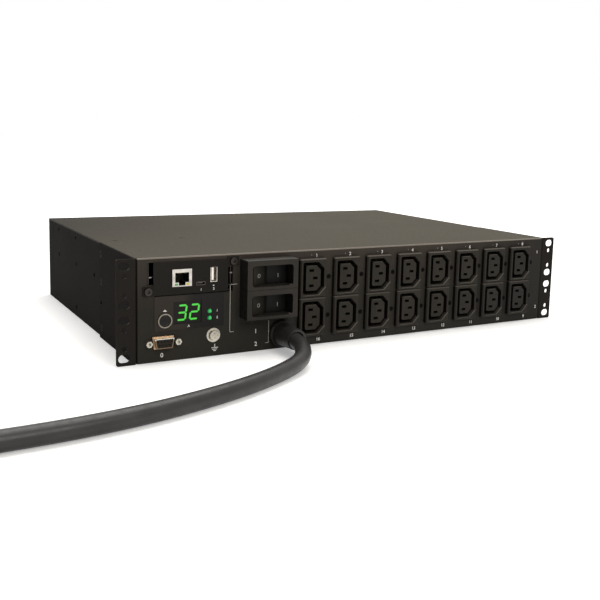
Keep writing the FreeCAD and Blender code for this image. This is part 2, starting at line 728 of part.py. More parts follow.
def make_panel():
    """Front panel with folded lips and every opening."""
    body = document.addObject("PartDesign::Body", "front_panel")
    fold = sketch_on(body, "YZ_Plane", "fold")
    draw(fold, [
        ("0", "0"),
        ("panel_thickness", "0"),
        ("panel_thickness", "chassis_height"),
        ("0", "chassis_height"),
    ])
    pad = feature(body, "Pad", fold, "sheet", Length="chassis_width - 2 * panel_edge_gap")
    pad.SideType = "Symmetric"
    document.recompute()
    round_edges(
        body, pad, "soft_edges", "panel_thickness / 2",
        lambda edge: edge.Length > 100 and abs(edge.CenterOfMass.y) < 0.01,
    )
    lips = sketch_on(body, "YZ_Plane", "lips")
    for low in ("sheet", f"({COVER_UNDERSIDE} - panel_thickness)"):
        draw(lips, [
            ("panel_thickness / 2", low),
            ("panel_thickness + panel_lip", low),
            ("panel_thickness + panel_lip", f"{low} + panel_thickness"),
            ("panel_thickness / 2", f"{low} + panel_thickness"),
        ])
    lip_pad = feature(body, "Pad", lips, "lip_pad", Length="chassis_width - 2 * sheet - 2 * fit_gap")
    lip_pad.SideType = "Symmetric"
    openings = sketch_on(body, "XZ_Plane", "openings")
    left, right = "card_left - card_bay_margin + 1", "card_right + card_bay_margin - 1"
    draw(openings, [
        ("card_left + 1", "card_bottom - 1"),
        (right, "card_bottom - 1"),
        (right, "card_top - card_tab_height + 1"),
        ("card_right - 1", "card_top - card_tab_height + 1"),
        ("card_right - 1", "card_top"),
        (left, "card_top"),
        (left, "card_bottom + card_tab_height + 1"),
        ("card_left + 1", "card_bottom + card_tab_height + 1"),
    ])
    draw(openings, rectangle("(display_left + display_width / 2)", "(display_bottom + display_height / 2)",
                             "display_width + 2 * fit_gap", "display_height + 2 * fit_gap"))
    draw(openings, trapezium(
        "serial_x", "serial_z", "serial_width + 2 * fit_gap", "serial_height + 2 * fit_gap", "serial_slant"
    ))
    draw(openings, rectangle("breaker_x", "(breaker_top - breaker_pitch + breaker_gap / 2)",
                             "breaker_case_width + 2 * fit_gap",
                             "breaker_case_height + breaker_pitch + 2 * fit_gap"))
    for x, z in OUTLETS.values():
        draw(openings, rectangle(x, z, "outlet_body_width + 2 * fit_gap", "outlet_body_height + 2 * fit_gap"))
        draw_circle(openings, f"{x} + indicator_offset", z, "indicator_hole / 2")
    for x, z in CARD_SCREWS:
        draw_circle(openings, x, z, "screw_radius + fit_gap / 2")
    for z in STATUS_LIGHTS:
        draw_circle(openings, "status_x", z, "status_radius + fit_gap")
    for x in JACK_SCREWS:
        draw_circle(openings, x, "serial_z", "screw_radius")
    draw_circle(openings, "button_x", "button_z", "ring_radius + fit_gap / 2")
    draw_circle(openings, "ground_x", "ground_z", "ground_shank + fit_gap / 2")
    draw_circle(openings, "gland_x", "gland_z", "gland_thread + fit_gap / 2")
    pocket = feature(body, "Pocket", openings, "cutouts")
    pocket.SideType = "Symmetric"
    pocket.Type = "ThroughAll"
    place(body, "0", FRONT, "0")
    node(body)


# Network card

def make_card():
    """The card's face, its board, its cage and its ports."""
    face_front = behind("-card_plate")
    plate = box("card_face_plate", "card_left", face_front, "card_bottom",
                "card_right - card_left", "card_plate", "card_top - card_bottom")
    tabs = [
        box("card_tab_low", "card_left - card_tab + 0.6", face_front, "card_bottom",
            "card_tab", "card_plate", "card_tab_height"),
        box("card_tab_high", "card_right - 0.6", face_front, "card_top - card_tab_height * 3 / 4",
            "card_tab + 1.2", "card_plate", "card_tab_height"),
    ]
    holes = [
        box_around("card_jack_cut", "jack_x", behind("-2 * card_plate"), JACK_Z,
                   "jack_width + fit_gap", "4 * card_plate", "jack_height + fit_gap"),
        box_around("card_console_cut", "console_x", behind("-2 * card_plate"), CONSOLE_Z,
                   "console_width + fit_gap", "4 * card_plate", "console_height + fit_gap"),
        box_around("card_usb_cut", "usb_x", behind("-2 * card_plate"), USB_Z,
                   "usb_width + fit_gap", "4 * card_plate", "usb_height + fit_gap"),
    ]
    for number, (x, z) in enumerate(CARD_SCREWS):
        holes.append(rod(f"card_screw_bore_{number}", x, behind("-2 * card_plate"), z,
                         "screw_radius + fit_gap / 2", "4 * card_plate"))
    node(cut("card_faceplate", join("card_face_blank", plate, *tabs), *holes))

    node(box("card_board", "card_left + 1", FRONT, "card_board_top - board_thickness",
             "card_right - card_left - 2", "card_board_depth", "board_thickness"))

    left, right = "(card_left - card_bay_margin + 2)", "(card_right + card_bay_margin - 2)"
    lip_end = behind("panel_thickness + panel_lip + fit_gap")
    tall = box("cage_outside", left, BEHIND_PANEL, "card_bottom",
               f"{right} - {left}", "cage_depth", f"{COVER_UNDERSIDE} - card_bottom")
    hollow = box("cage_inside", f"{left} + cage_sheet", FRONT, "card_bottom + cage_sheet",
                 f"{right} - {left} - 2 * cage_sheet", "chassis_depth",
                 f"{COVER_UNDERSIDE} - card_bottom - 2 * cage_sheet")
    mouth = box("cage_top_opening", f"{left} + cage_flange", FRONT, "card_board_top",
                f"{right} - {left} - 2 * cage_flange", "chassis_depth", "chassis_height")
    lip_room = box("cage_lip_room", "-chassis_width", FRONT, f"{COVER_UNDERSIDE} - panel_thickness - fit_gap",
                   "2 * chassis_width", f"{lip_end} - {FRONT}", "chassis_height")
    bores = [
        rod(f"cage_bore_{number}", x, behind("cage_screw_back"), "card_board_top",
            "screw_radius + fit_gap / 2", "chassis_height", "Z")
        for number, x in enumerate(CAGE_SCREWS)
    ]
    ledges = [
        box("cage_ledge_" + side, x, BEHIND_PANEL, "card_board_top - board_thickness - cage_sheet",
            "cage_ledge + cage_sheet / 2", "cage_depth", "cage_sheet")
        for side, x in (("left", f"{left} + cage_sheet / 2"), ("right", f"{right} - cage_sheet - cage_ledge"))
    ]
    node(join("card_cage", cut("cage_shell", tall, hollow, mouth, lip_room, *bores), *ledges))

    screws = []
    for number, (x, z) in enumerate(CARD_SCREWS):
        head_front = behind("-card_plate - card_screw_height")
        blank = join(
            f"card_screw_blank_{number}",
            rod(f"card_screw_head_{number}", x, head_front, z, "card_screw_radius", "card_screw_height"),
            rod(f"card_screw_shank_{number}", x, behind("-card_plate"), z, "screw_radius",
                "card_plate + panel_thickness"),
        )
        socket = document.addObject("Part::Prism", f"card_screw_socket_{number}")
        socket.Polygon = 6
        bind(socket, Circumradius="card_screw_radius * 0.5", Height="card_screw_height * 0.6")
        place(socket, x, head_front, z, TURNS["Y"])
        screws.append(cut(f"card_screw_{number}", blank, socket))
    node(group("card_screws", *screws))

    jack_front = behind("-card_plate - jack_proud")
    jack_top = "(card_board_top + jack_height - jack_frame)"
    mouth_z = f"({jack_top} - jack_mouth_height / 2)"
    key_z = f"({jack_top} - jack_mouth_height)"
    can = box_around("jack_outside", "jack_x", jack_front, JACK_Z, "jack_width", "jack_depth", "jack_height")
    inside = box_around("jack_inside", "jack_x", f"{jack_front} + jack_wall", JACK_Z,
                        "jack_width - 2 * jack_wall", "jack_depth", "jack_height - 2 * jack_wall")
    mouth = join(
        "jack_mouth",
        box_around("jack_mouth_wide", "jack_x", jack_front, mouth_z,
                   "jack_mouth_width", "jack_depth * 0.7", "jack_mouth_height"),
        box("jack_mouth_key", "jack_x - jack_key_width / 2", jack_front, f"{key_z} - jack_key_height",
            "jack_key_width", "jack_depth * 0.7", "jack_key_height + 1"),
    )
    node(cut("ethernet_jack_shield", can, inside, mouth))
    insert = box_around("jack_insert", "jack_x", f"{jack_front} + jack_wall", JACK_Z,
                        "jack_width - 2 * jack_wall", "jack_depth - jack_wall", "jack_height - 2 * jack_wall")
    node(cut("ethernet_jack_body", insert, mouth))

    port_front = behind("-card_plate - 0.3")
    console_shell = cut(
        "console_shell",
        box_around("console_outside", "console_x", port_front, CONSOLE_Z,
                   "console_width", "port_depth / 2", "console_height"),
        box_around("console_inside", "console_x", behind("-3"), CONSOLE_Z,
                   "console_width - 2 * port_wall", "port_depth / 2", "console_height - 2 * port_wall"),
    )
    node(join("console_port", console_shell,
              box("console_tongue", "console_x - console_width / 4", behind("0"), f"{CONSOLE_Z} - 0.1",
                  "console_width / 2", "port_depth / 2 - 1.5 * port_wall - 0.8", "0.7")))
    usb_shell = cut(
        "usb_shell",
        box_around("usb_outside", "usb_x", port_front, USB_Z, "usb_width", "port_depth", "usb_height"),
        box_around("usb_inside", "usb_x", behind("-3"), USB_Z,
                   "usb_width - 2 * port_wall", "port_depth", "usb_height - 2 * port_wall"),
    )
    node(join(
        "usb_port", usb_shell,
        box("usb_tongue", "usb_x - 1.3", behind("0.4"), f"{USB_Z} - usb_height * 0.4",
            "1.8", "port_depth * 0.85", "usb_height * 0.8"),
        box("usb_foot", "usb_x - usb_width / 2", behind("1"), "card_board_top",
            "usb_width", "port_depth - 2.5", "usb_bottom - card_board_top + port_wall / 2"),
    ))


# Display and its board

DISPLAY_BOARD_FRONT = behind("display_recess + display_depth")
BOARD_POSTS = [(x, z) for x in ("overlay_left + 2.5", "overlay_right - 3.5")
               for z in ("overlay_bottom + 2.5", "overlay_top - 3.5")]


def make_display():
    """The display label, the digits, the mode button, the lights and the board behind them."""
    label_front = behind("-overlay_thickness")
    label = box("overlay_blank", "overlay_left", label_front, "overlay_bottom",
                "overlay_right - overlay_left", "overlay_thickness", "overlay_top - overlay_bottom")
    windows = [
        box_around("overlay_window", "(display_left + display_width / 2)", behind("-2"),
                   "(display_bottom + display_height / 2)", "display_width", "4", "display_height"),
        rod("overlay_button_hole", "button_x", behind("-2"), "button_z", "ring_radius + fit_gap / 2", "4"),
    ]
    for number, z in enumerate(STATUS_LIGHTS):
        windows.append(rod(f"overlay_light_hole_{number}", "status_x", behind("-2"), z,
                           "status_radius + fit_gap", "4"))
    node(cut("display_overlay", label, *windows))
    node(box("digit_display", "display_left", behind("display_recess"), "display_bottom",
             "display_width", "display_depth", "display_height"))

    cap = document.addObject("PartDesign::Body", "mode_button")
    flange = "(panel_thickness + fit_gap * 2 + 0.1)"
    profile = sketch_on(cap, "XY_Plane", "profile")
    draw(profile, [
        ("0", "0"),
        ("button_radius - 0.6", "0"),
        ("button_radius", "0.6"),
        ("button_radius", f"button_proud + {flange}"),
        ("ring_radius - 0.2", f"button_proud + {flange}"),
        ("ring_radius - 0.2", f"button_proud + {flange} + 1"),
        ("button_radius", f"button_proud + {flange} + 1"),
        ("button_radius", "button_length"),
        ("0", "button_length"),
    ])
    spun = cap.newObject("PartDesign::Revolution", "mode_button_turn")
    spun.Profile = profile
    spun.ReferenceAxis = (profile, ["V_Axis"])
    spun.Angle = 360
    place(cap, "button_x", behind("-button_proud"), "button_z")
    cap.Label = "mode_button_blank"
    dish = document.addObject("Part::Sphere", "mode_button_dish")
    bind(dish, Radius="button_dish")
    place(dish, "button_x", behind("-button_proud - button_dish + 0.7"), "button_z")
    pressed = cut("mode_button_cap", cap, dish)
    nodes.append(pressed)
    pressed.Label = "mode_button"

    node(cut(
        "button_ring",
        rod("ring_outside", "button_x", behind("-ring_proud"), "button_z",
            "ring_radius", "ring_proud + panel_thickness + 2 * fit_gap"),
        rod("ring_inside", "button_x", behind("-2 * ring_proud"), "button_z",
            "button_radius + button_play", "4 * ring_proud + panel_thickness"),
    ))
    stem_front = behind("button_length - button_proud + button_travel + 0.05")
    node(join(
        "button_switch",
        rod("switch_stem_rod", "button_x", stem_front, "button_z", "switch_stem",
            f"{DISPLAY_BOARD_FRONT} - {stem_front}"),
        box_around("switch_case", "button_x", f"{DISPLAY_BOARD_FRONT} - 2.5", "button_z",
                   "switch_size", "2.5", "switch_size"),
    ))
    lights = []
    for number, z in enumerate(STATUS_LIGHTS):
        dome = document.addObject("Part::Sphere", f"status_dome_{number}")
        bind(dome, Radius="status_radius")
        place(dome, "status_x", behind("status_radius - status_proud"), z)
        stem = rod(f"status_stem_{number}", "status_x", behind("status_radius - status_proud"), z,
                   "status_radius", f"{DISPLAY_BOARD_FRONT} - {behind('status_radius - status_proud')}")
        lights.append(join(f"status_light_{number}", dome, stem))
    node(group("status_lights", *lights))
    board = box("display_board_sheet", "overlay_left", DISPLAY_BOARD_FRONT, "overlay_bottom",
                "overlay_right - overlay_left", "board_thickness", "overlay_top - overlay_bottom")
    posts = [
        rod(f"display_post_{number}", x, BEHIND_PANEL, z, "2.4",
            f"{DISPLAY_BOARD_FRONT} - {BEHIND_PANEL} + 0.5")
        for number, (x, z) in enumerate(BOARD_POSTS)
    ]
    node(join("display_board", board, *posts))


# Serial connector and ground screw

def make_serial():
    """The connector's metal shell, its contact block and its jack screws."""
    rim_front, shell_front = behind("-serial_rim"), behind("-serial_proud")
    rim = outline_slab(
        "serial_rim_block",
        trapezium("serial_x", "serial_z", "serial_width", "serial_height", "serial_slant"),
        rim_front, "serial_rim + panel_thickness + 0.4",
    )
    shell = outline_slab(
        "serial_shell_block",
        trapezium("serial_x", "serial_z", "serial_shell_width", "serial_shell_height", "serial_slant"),
        shell_front, "serial_proud",
    )
    flange = box_around("serial_flange", "serial_x", BEHIND_PANEL, "serial_z",
                        "serial_flange_width", "0.8", "serial_flange_height")
    hollow = outline_slab(
        "serial_hollow",
        trapezium("serial_x", "serial_z", "serial_shell_width - 2 * serial_wall",
                  "serial_shell_height - 2 * serial_wall", "serial_slant"),
        behind("-serial_proud - 1"), "serial_proud + panel_thickness + 5",
    )
    bores = [
        rod(f"serial_bore_{number}", x, FRONT, "serial_z", "jack_screw_bore + fit_gap", "serial_depth")
        for number, x in enumerate(JACK_SCREWS)
    ]
    blank = join("serial_shell_blank", rim, shell, flange)
    node(cut("serial_connector_shell", blank, hollow, *bores))
    block = outline_slab(
        "serial_insert_block",
        trapezium("serial_x", "serial_z", "serial_shell_width - 2 * serial_wall",
                  "serial_shell_height - 2 * serial_wall", "serial_slant"),
        behind("-serial_proud + 0.5"), "serial_proud - 0.5 + panel_thickness + serial_depth",
    )
    contacts = []
    for row, (count, z) in enumerate(((5, "serial_z + 1.42"), (4, "serial_z - 1.42"))):
        for number in range(count):
            contacts.append(rod(
                f"serial_contact_{row}_{number}",
                f"serial_x + ({number} - ({count} - 1) / 2) * serial_contact_pitch",
                behind("-serial_proud"), z, "serial_contact", "6",
            ))
    node(cut("serial_connector_insert", block, *contacts))
    screws = []
    for number, x in enumerate(JACK_SCREWS):
        post = document.addObject("Part::Prism", f"jack_screw_post_{number}")
        post.Polygon = 6
        bind(post, Circumradius="jack_screw_size / 2 / cos(30)", Height="jack_screw_proud")
        place(post, x, behind("-jack_screw_proud"), "serial_z", TURNS["Y"])
        shank = rod(f"jack_screw_shank_{number}", x, FRONT, "serial_z", "jack_screw_bore", "serial_depth")
        bore = rod(f"jack_screw_bore_{number}", x, behind("-jack_screw_proud"), "serial_z",
                   "jack_screw_bore", "jack_screw_proud * 0.8")
        screws.append(cut(f"jack_screw_{number}", join(f"jack_screw_blank_{number}", post, shank), bore))
    node(group("serial_jack_screws", *screws))


def make_ground_screw():
    """Pan-head screw with a captive washer in front and a nut behind the panel."""
    head_front = behind("-ground_washer_thickness - ground_head_height")
    washer = rod("ground_washer_disc", "ground_x", behind("-ground_washer_thickness"), "ground_z",
                 "ground_washer", "ground_washer_thickness")
    head = cone("ground_head_cone", "ground_x", head_front, "ground_z",
                "ground_head * 0.82", "ground_head", "ground_head_height")
    shank = rod("ground_shank_rod", "ground_x", behind("-0.2"), "ground_z", "ground_shank", "ground_length")
    nut = document.addObject("Part::Prism", "ground_nut")
    nut.Polygon = 6
    bind(nut, Circumradius="ground_head", Height="ground_head_height")
    place(nut, "ground_x", BEHIND_PANEL, "ground_z", TURNS["Y"])
    recess = cross_recess("ground_cross", "ground_x", head_front, "ground_z",
                          "ground_head * 1.1", "ground_head_height * 0.6", "Y")
    node(cut("ground_screw", join("ground_screw_blank", washer, head, shank, nut), recess))


# Breakers

def make_breaker(number, height):
    """A guarded rocker breaker: the case with its guard, and the rocker that pivots in it."""
    pivot = behind("-rocker_pivot")
    opening = "(2 * (rocker_radius + rocker_gap))"
    guard = box_around(f"breaker_{number}_guard", "breaker_x", behind("-guard_depth"), height,
                       "breaker_width", "guard_depth", "breaker_pitch - breaker_gap")
    case = box_around(f"breaker_{number}_body", "breaker_x", FRONT, height,
                      "breaker_case_width", "breaker_case_depth", "breaker_case_height")
    level = f"({height} - rocker_drop)"
    tall = "rocker_height + 2 * rocker_gap"
    mouth = outline_slab(
        f"breaker_{number}_mouth",
        rounded_rectangle("breaker_x", level, opening, tall, "guard_corner"),
        behind("-guard_depth - 1"), "guard_mouth + 2",
    )
    pit = box_around(
        f"breaker_{number}_pit", "breaker_x", behind("-guard_depth + guard_mouth"), level, opening,
        "guard_depth - guard_mouth + rocker_radius + 2 * rocker_gap - rocker_pivot", tall,
    )
    bearing = rod(f"breaker_{number}_bearing", "breaker_x", pivot,
                  f"{level} - rocker_height / 2 - rocker_pin_length - rocker_gap",
                  "rocker_pin + rocker_pin_gap", "rocker_height + 2 * (rocker_pin_length + rocker_gap)", "Z")
    node(cut(f"breaker_{number}_case", join(f"breaker_{number}_blank", guard, case), mouth, pit, bearing))

    rocker = document.addObject("PartDesign::Body", f"breaker_{number}_rocker")
    drum = sketch_on(rocker, "XY_Plane", "drum")
    draw_circle(drum, "0", "0", "rocker_radius")
    pad = feature(rocker, "Pad", drum, "drum_pad", Length="rocker_height")
    pad.SideType = "Symmetric"
    faces = sketch_on(rocker, "XY_Plane", "faces")
    half = "(rocker_travel / 2)"
    far = "(1.5 * rocker_radius)"
    outer_y = f"-(rocker_offset + {far} * sin{half}) / cos{half}"
    draw(faces, [
        ("0", f"-rocker_offset / cos{half}"),
        (far, outer_y),
        (far, f"-2 * {far}"),
        (f"-{far}", f"-2 * {far}"),
        (f"-{far}", outer_y),
    ])
    draw(faces, [(f"-{far}", "rocker_back"), (far, "rocker_back"), (far, far), (f"-{far}", far)])
    shaped = feature(rocker, "Pocket", faces, "faces_cut")
    shaped.SideType = "Symmetric"
    shaped.Type = "ThroughAll"
    pins = sketch_on(rocker, "XY_Plane", "pins")
    draw_circle(pins, "0", "0", "rocker_pin")
    pin_pad = feature(rocker, "Pad", pins, "pin_pad", Length="rocker_height + 2 * rocker_pin_length")
    pin_pad.SideType = "Symmetric"
    place(rocker, "breaker_x", pivot, level, FreeCAD.Rotation(Vector(0, 0, 1), size("rocker_travel") / 2))
    node(rocker)


# Outlets

def keyed(width, height, chamfer, corner):
    """The outline of an outlet's opening or core: the two corners on the earth side are cut."""
    half_width, half_height = f"({width} / 2)", f"({height} / 2)"
    return [
        (f"-{half_width}", f"{corner} - {half_height}"),
        (f"0.29 * {corner} - {half_width}", f"0.29 * {corner} - {half_height}"),
        (f"{corner} - {half_width}", f"-{half_height}"),
        (f"{half_width} - {chamfer}", f"-{half_height}"),
        (half_width, f"{chamfer} - {half_height}"),
        (half_width, f"{half_height} - {chamfer}"),
        (f"{half_width} - {chamfer}", half_height),
        (f"{corner} - {half_width}", half_height),
        (f"0.29 * {corner} - {half_width}", f"{half_height} - 0.29 * {corner}"),
        (f"-{half_width}", f"{half_height} - {corner}"),
    ]


CONTACTS = (
    ("live", "-contact_offset", "contact_spread"),
    ("neutral", "-contact_offset", "-contact_spread"),
    ("earth", "contact_offset", "0"),
)


def make_outlet(number, x, z):
    """One outlet: its bevelled frame, its body and the keyed opening round its core."""
    body = document.addObject("PartDesign::Body", f"outlet_{number:02d}")
    frame = sketch_on(body, "XZ_Plane", "frame")
    draw(frame, rectangle("0", "0", "outlet_flange_width", "outlet_flange_height"))
    frame_pad = feature(body, "Pad", frame, "frame_pad", Length="outlet_proud")
    frame_pad.Reversed = True
    document.recompute()
    bevel = round_edges(
        body, frame_pad, "bevel", "outlet_bevel",
        lambda edge: abs(edge.CenterOfMass.y) < 0.01 or deep(edge), "Chamfer",
    )
    block = sketch_on(body, "XZ_Plane", "block")
    draw(block, rectangle("0", "0", "outlet_body_width", "outlet_body_height"))
    block_pad = feature(body, "Pad", block, "block_pad", Length="outlet_proud + outlet_body_depth")
    block_pad.Reversed = True
    ring = sketch_on(body, "XZ_Plane", "ring")
    draw(ring, keyed("socket_width", "socket_height", "socket_chamfer", "socket_corner"))
    draw(ring, keyed("core_width", "core_height", "core_chamfer", "core_corner"))
    feature(body, "Pocket", ring, "ring_cut", Length="socket_depth")
    core = sketch_on(body, "XZ_Plane", "core")
    draw(core, rectangle("0", "0", "core_width + 1", "core_height + 1"))
    feature(body, "Pocket", core, "core_cut", Length="core_recess")
    slots = sketch_on(body, "XZ_Plane", "slots")
    for _, slot_x, slot_z in CONTACTS:
        draw(slots, rectangle(slot_x, slot_z, "contact_slot_width", "contact_slot_height"))
    feature(body, "Pocket", slots, "slots_cut", Length="socket_depth")
    place(body, x, behind("-outlet_proud"), z)
    node(body)


def make_outlets():
    """All outlets, their contacts, their indicators and the board that carries them."""
    contacts, indicators, relays = [], [], []
    board_front = behind("outlet_body_depth")
    for number in sorted(OUTLETS):
        x, z = OUTLETS[number]
        make_outlet(number, x, z)
        for name, slot_x, slot_z in CONTACTS:
            contacts.append(box_around(
                f"contact_{number:02d}_{name}", f"{x} + {slot_x}",
                behind("socket_depth - outlet_proud - contact_depth"), f"{z} + {slot_z}",
                "contact_slot_width - 2 * contact_gap", "contact_depth",
                "contact_slot_height - 2 * contact_gap",
            ))
        indicators.append(rod(f"indicator_{number:02d}", f"{x} + indicator_offset", behind("0.8"), z,
                              "indicator_rod / 2", "outlet_body_depth - 0.8"))
        relays.append(box_around(f"relay_{number:02d}", x, f"{board_front} + board_thickness", z,
                                 "relay_width", "relay_depth", "relay_height"))
    node(group("outlet_contacts", *contacts))
    node(group("outlet_indicators", *indicators))
    node(box("outlet_board", "outlet_x - outlet_board_margin", board_front,
             "outlet_middle - outlet_board_height / 2",
             "7 * outlet_pitch + outlet_board_margin + indicator_offset + 4",
             "board_thickness", "outlet_board_height"))
    node(group("relays", *relays))


# Control electronics

def make_electronics():
    """The control board on its posts, the power supply on it and the mains terminal block."""
    board_z = "(sheet + standoff_height)"
    node(box("control_board", "control_left", behind("control_front"), board_z,
             "control_width", "control_depth", "board_thickness"))
    node(box("transformer", "control_left + 20", behind("control_front + 24"), f"{board_z} + board_thickness",
             "supply_width", "supply_depth", "supply_height"))
    block = box("terminal_blank", "gland_x", behind("terminal_front"), "sheet",
                "terminal_width", "terminal_depth", "terminal_height")
    entries = [
        rod(f"terminal_entry_{number}", f"gland_x + terminal_width * ({number} + 0.5) / 3",
            behind("terminal_front - 1"), "sheet + terminal_height / 2",
            "terminal_wire", "terminal_depth / 2")
        for number in range(3)
    ]
    node(cut("terminal_block", block, *entries))


# Mains cord

COIL_X = "(gland_x - coil_aside)"
COIL_Y = f"({FRONT} - coil_ahead)"


def cord_route():
    """Corners of the cord's middle line, from the gland to the coil."""
    low = size("cord_diameter") / 2 + size("cord_lift")
    front = -size("chassis_depth") / 2
    exit_x, exit_z = size("gland_x"), size("gland_z")
    coil_front = front - size("coil_ahead") - size("coil_lower") + size("cord_diameter") / 2
    return [
        Vector(exit_x, front - 2, exit_z),
        Vector(exit_x, front - 47, exit_z),
        Vector(exit_x - 23.5, front - 86.5, low),
        Vector(exit_x - 96, front - 126, low),
        Vector(exit_x - 200, front - 147, low),
        Vector(exit_x - 302, coil_front, low),
    ]


def rounded_path(corners):
    """A wire of straight runs joined by tangent arcs."""
    edges, start = [], corners[0]
    for before, corner, after in zip(corners, corners[1:], corners[2:]):
        back, ahead = (before - corner), (after - corner)
        reach = 0.45 * min(back.Length, ahead.Length)
        turn = math.pi - back.getAngle(ahead)
        radius = reach / math.tan(turn / 2)
        print(f"cord bend: turn {math.degrees(turn):.1f} degrees, radius {radius:.1f} mm")
        back.normalize()
        ahead.normalize()
        first, last = corner + back * reach, corner + ahead * reach
        inward = (back + ahead).normalize()
        middle = corner + inward * (math.hypot(radius, reach) - radius)
        edges += [Part.LineSegment(start, first).toShape(), Part.Arc(first, middle, last).toShape()]
        start = last
    edges.append(Part.LineSegment(start, corners[-1]).toShape())
    return Part.Wire(edges)


def make_cord():
    """The gland with its nut, the strain relief, the cord, its coil and the plug."""
    gland = turned("cable_gland", [
        ("cord_diameter / 2 + fit_gap", "0"),
        ("gland_radius - 1.2", "0"),
        ("gland_radius", "1.2"),
        ("gland_radius", "gland_proud"),
        ("gland_thread", "gland_proud"),
        ("gland_thread", "gland_proud + gland_length"),
        ("cord_diameter / 2 + fit_gap", "gland_proud + gland_length"),
    ], "gland_x", behind("-gland_proud"), "gland_z")
    node(gland)
    nut = document.addObject("Part::Prism", "locknut_blank")
    nut.Polygon = 6
    bind(nut, Circumradius="gland_nut", Height="gland_nut_thickness")
    place(nut, "gland_x", BEHIND_PANEL, "gland_z", TURNS["Y"])
    bore = rod("locknut_bore", "gland_x", FRONT, "gland_z", "gland_thread + fit_gap / 2", "gland_length")
    node(cut("gland_locknut", nut, bore))
    relief = turned("cord_strain_relief", [
        ("cord_diameter / 2 + fit_gap", "0"),
        ("relief_tip", "0"),
        ("relief_root", "relief_length"),
        ("cord_diameter / 2 + fit_gap", "relief_length"),
    ], "gland_x", behind("-gland_proud - relief_length"), "gland_z")
    node(relief)

    corners = cord_route()
    path = document.addObject("Part::Feature", "cord_path")
    path.Shape = rounded_path(corners)
    section = document.addObject("Part::Circle", "cord_section")
    bind(section, Radius="cord_diameter / 2")
    section.Placement = FreeCAD.Placement(corners[0], TURNS["-Y"])
    cord = document.addObject("Part::Sweep", "power_cord")
    cord.Sections = [section]
    cord.Spine = (path, [f"Edge{number}" for number in range(1, len(path.Shape.Edges) + 1)])
    cord.Solid = True
    cord.Frenet = False
    node(cord)
    print(f"cord path length {path.Shape.Length:.1f} mm")

    low_z, high_z = CORD_AXIS, UPPER_TURNS
    lower = cut(
        "coil_lower_turns",
        rod("coil_lower_outside", COIL_X, COIL_Y, "cord_lift", "coil_lower", "cord_diameter", "Z"),
        rod("coil_lower_inside", COIL_X, COIL_Y, "0", "coil_inner", "2 * cord_diameter", "Z"),
    )
    upper = cut(
        "coil_upper_turns",
        rod("coil_upper_outside", COIL_X, COIL_Y, f"{low_z} + cord_diameter / 2", "coil_upper",
            "cord_diameter", "Z"),
        rod("coil_upper_inside", COIL_X, COIL_Y, "cord_diameter / 2", "coil_inner", "2 * cord_diameter", "Z"),
    )
    entry = document.addObject("Part::Cylinder", "coil_entry")
    bind(entry, Radius="cord_diameter / 2")
    last_run = corners[-1] - corners[-2]
    entry.Height = 70
    entry.Placement = FreeCAD.Placement(corners[-1], FreeCAD.Rotation(Vector(0, 0, 1), last_run))
    tail_rise = size("plug_radius") + 0.3 - (size("cord_diameter") * 1.5 + size("cord_lift"))
    tail = document.addObject("Part::Cylinder", "coil_tail")
    tail_run = Vector(0, size("tail_length"), tail_rise)
    bind(tail, Radius="cord_diameter / 2")
    tail.Height = tail_run.Length
    tail_start = Vector(
        size("gland_x") - size("coil_aside") - size("tail_radius"),
        -size("chassis_depth") / 2 - size("coil_ahead"),
        size("plug_radius") + 0.3 - tail_rise,
    )
    tail.Placement = FreeCAD.Placement(tail_start, FreeCAD.Rotation(Vector(0, 0, 1), tail_run))
    node(join("cord_coil", lower, upper, entry, tail))

    plug_y = f"{COIL_Y} + tail_length + 0.6"
    plug = turned("plug_body", [
        ("0", "0"),
        ("relief_tip", "0"),
        ("plug_radius * 0.6", "plug_relief"),
        ("plug_radius - 3", "plug_relief"),
        ("plug_radius", "plug_relief + 3"),
        ("plug_radius", "plug_relief + plug_length - 1.5"),
        ("plug_radius - 1.5", "plug_relief + plug_length"),
        ("0", "plug_relief + plug_length"),
    ], f"{COIL_X} - tail_radius", plug_y, "plug_radius + 0.3")
    node(plug)
    blades = []
    for number in range(3):
        turn = FreeCAD.Rotation(Vector(0, 1, 0), 120 * number)
        outer = document.addObject("Part::Cylinder", f"blade_outside_{number}")
        inner = document.addObject("Part::Cylinder", f"blade_inside_{number}")
        bind(outer, Radius="blade_circle + blade_thickness / 2", Height="blade_length", Angle="blade_angle")
        bind(inner, Radius="blade_circle - blade_thickness / 2", Height="blade_length")
        for item in (outer, inner):
            place(
                item, f"{COIL_X} - tail_radius", f"{plug_y} + plug_relief + plug_length",
                "plug_radius + 0.3", turn * TURNS["Y"],
            )
        blades.append(cut(f"plug_blade_{number}", outer, inner))
    node(group("plug_blades", *blades))


# Whole unit

make_tray()
make_cover()
make_ears()
make_chassis_screws()
make_panel()
make_card()
make_display()
make_serial()
make_ground_screw()
for breaker, breaker_height in BREAKERS.items():
    make_breaker(breaker, breaker_height)
make_outlets()
make_electronics()
make_cord()
document.recompute()

# Checks and export

faults = [
    item.Label for item in document.Objects
    if "Invalid" in item.State or "Error" in item.State
    or (item.isDerivedFrom("Part::Feature") and not item.isDerivedFrom("Sketcher::SketchObject")
        and (item.Shape.isNull() or not item.Shape.isValid()))
]
if faults:
    raise RuntimeError("faulty objects: " + ", ".join(faults))
os.makedirs("parts", exist_ok=True)
for item in nodes:
    item.Shape.exportStep(f"parts/{item.Label}.step")
    bounds = item.Shape.BoundBox
    print(f"{item.Label}: {len(item.Shape.Solids)} solid(s), {item.Shape.Volume:.0f} mm3, "
          f"x {bounds.XMin:.1f} to {bounds.XMax:.1f}, y {bounds.YMin:.1f} to {bounds.YMax:.1f}, "
          f"z {bounds.ZMin:.1f} to {bounds.ZMax:.1f}")
print(len(nodes), "nodes")
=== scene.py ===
"""The looks of the rack power distribution unit: camera, cord, finishes, prints, lights and floor."""

import json
import math

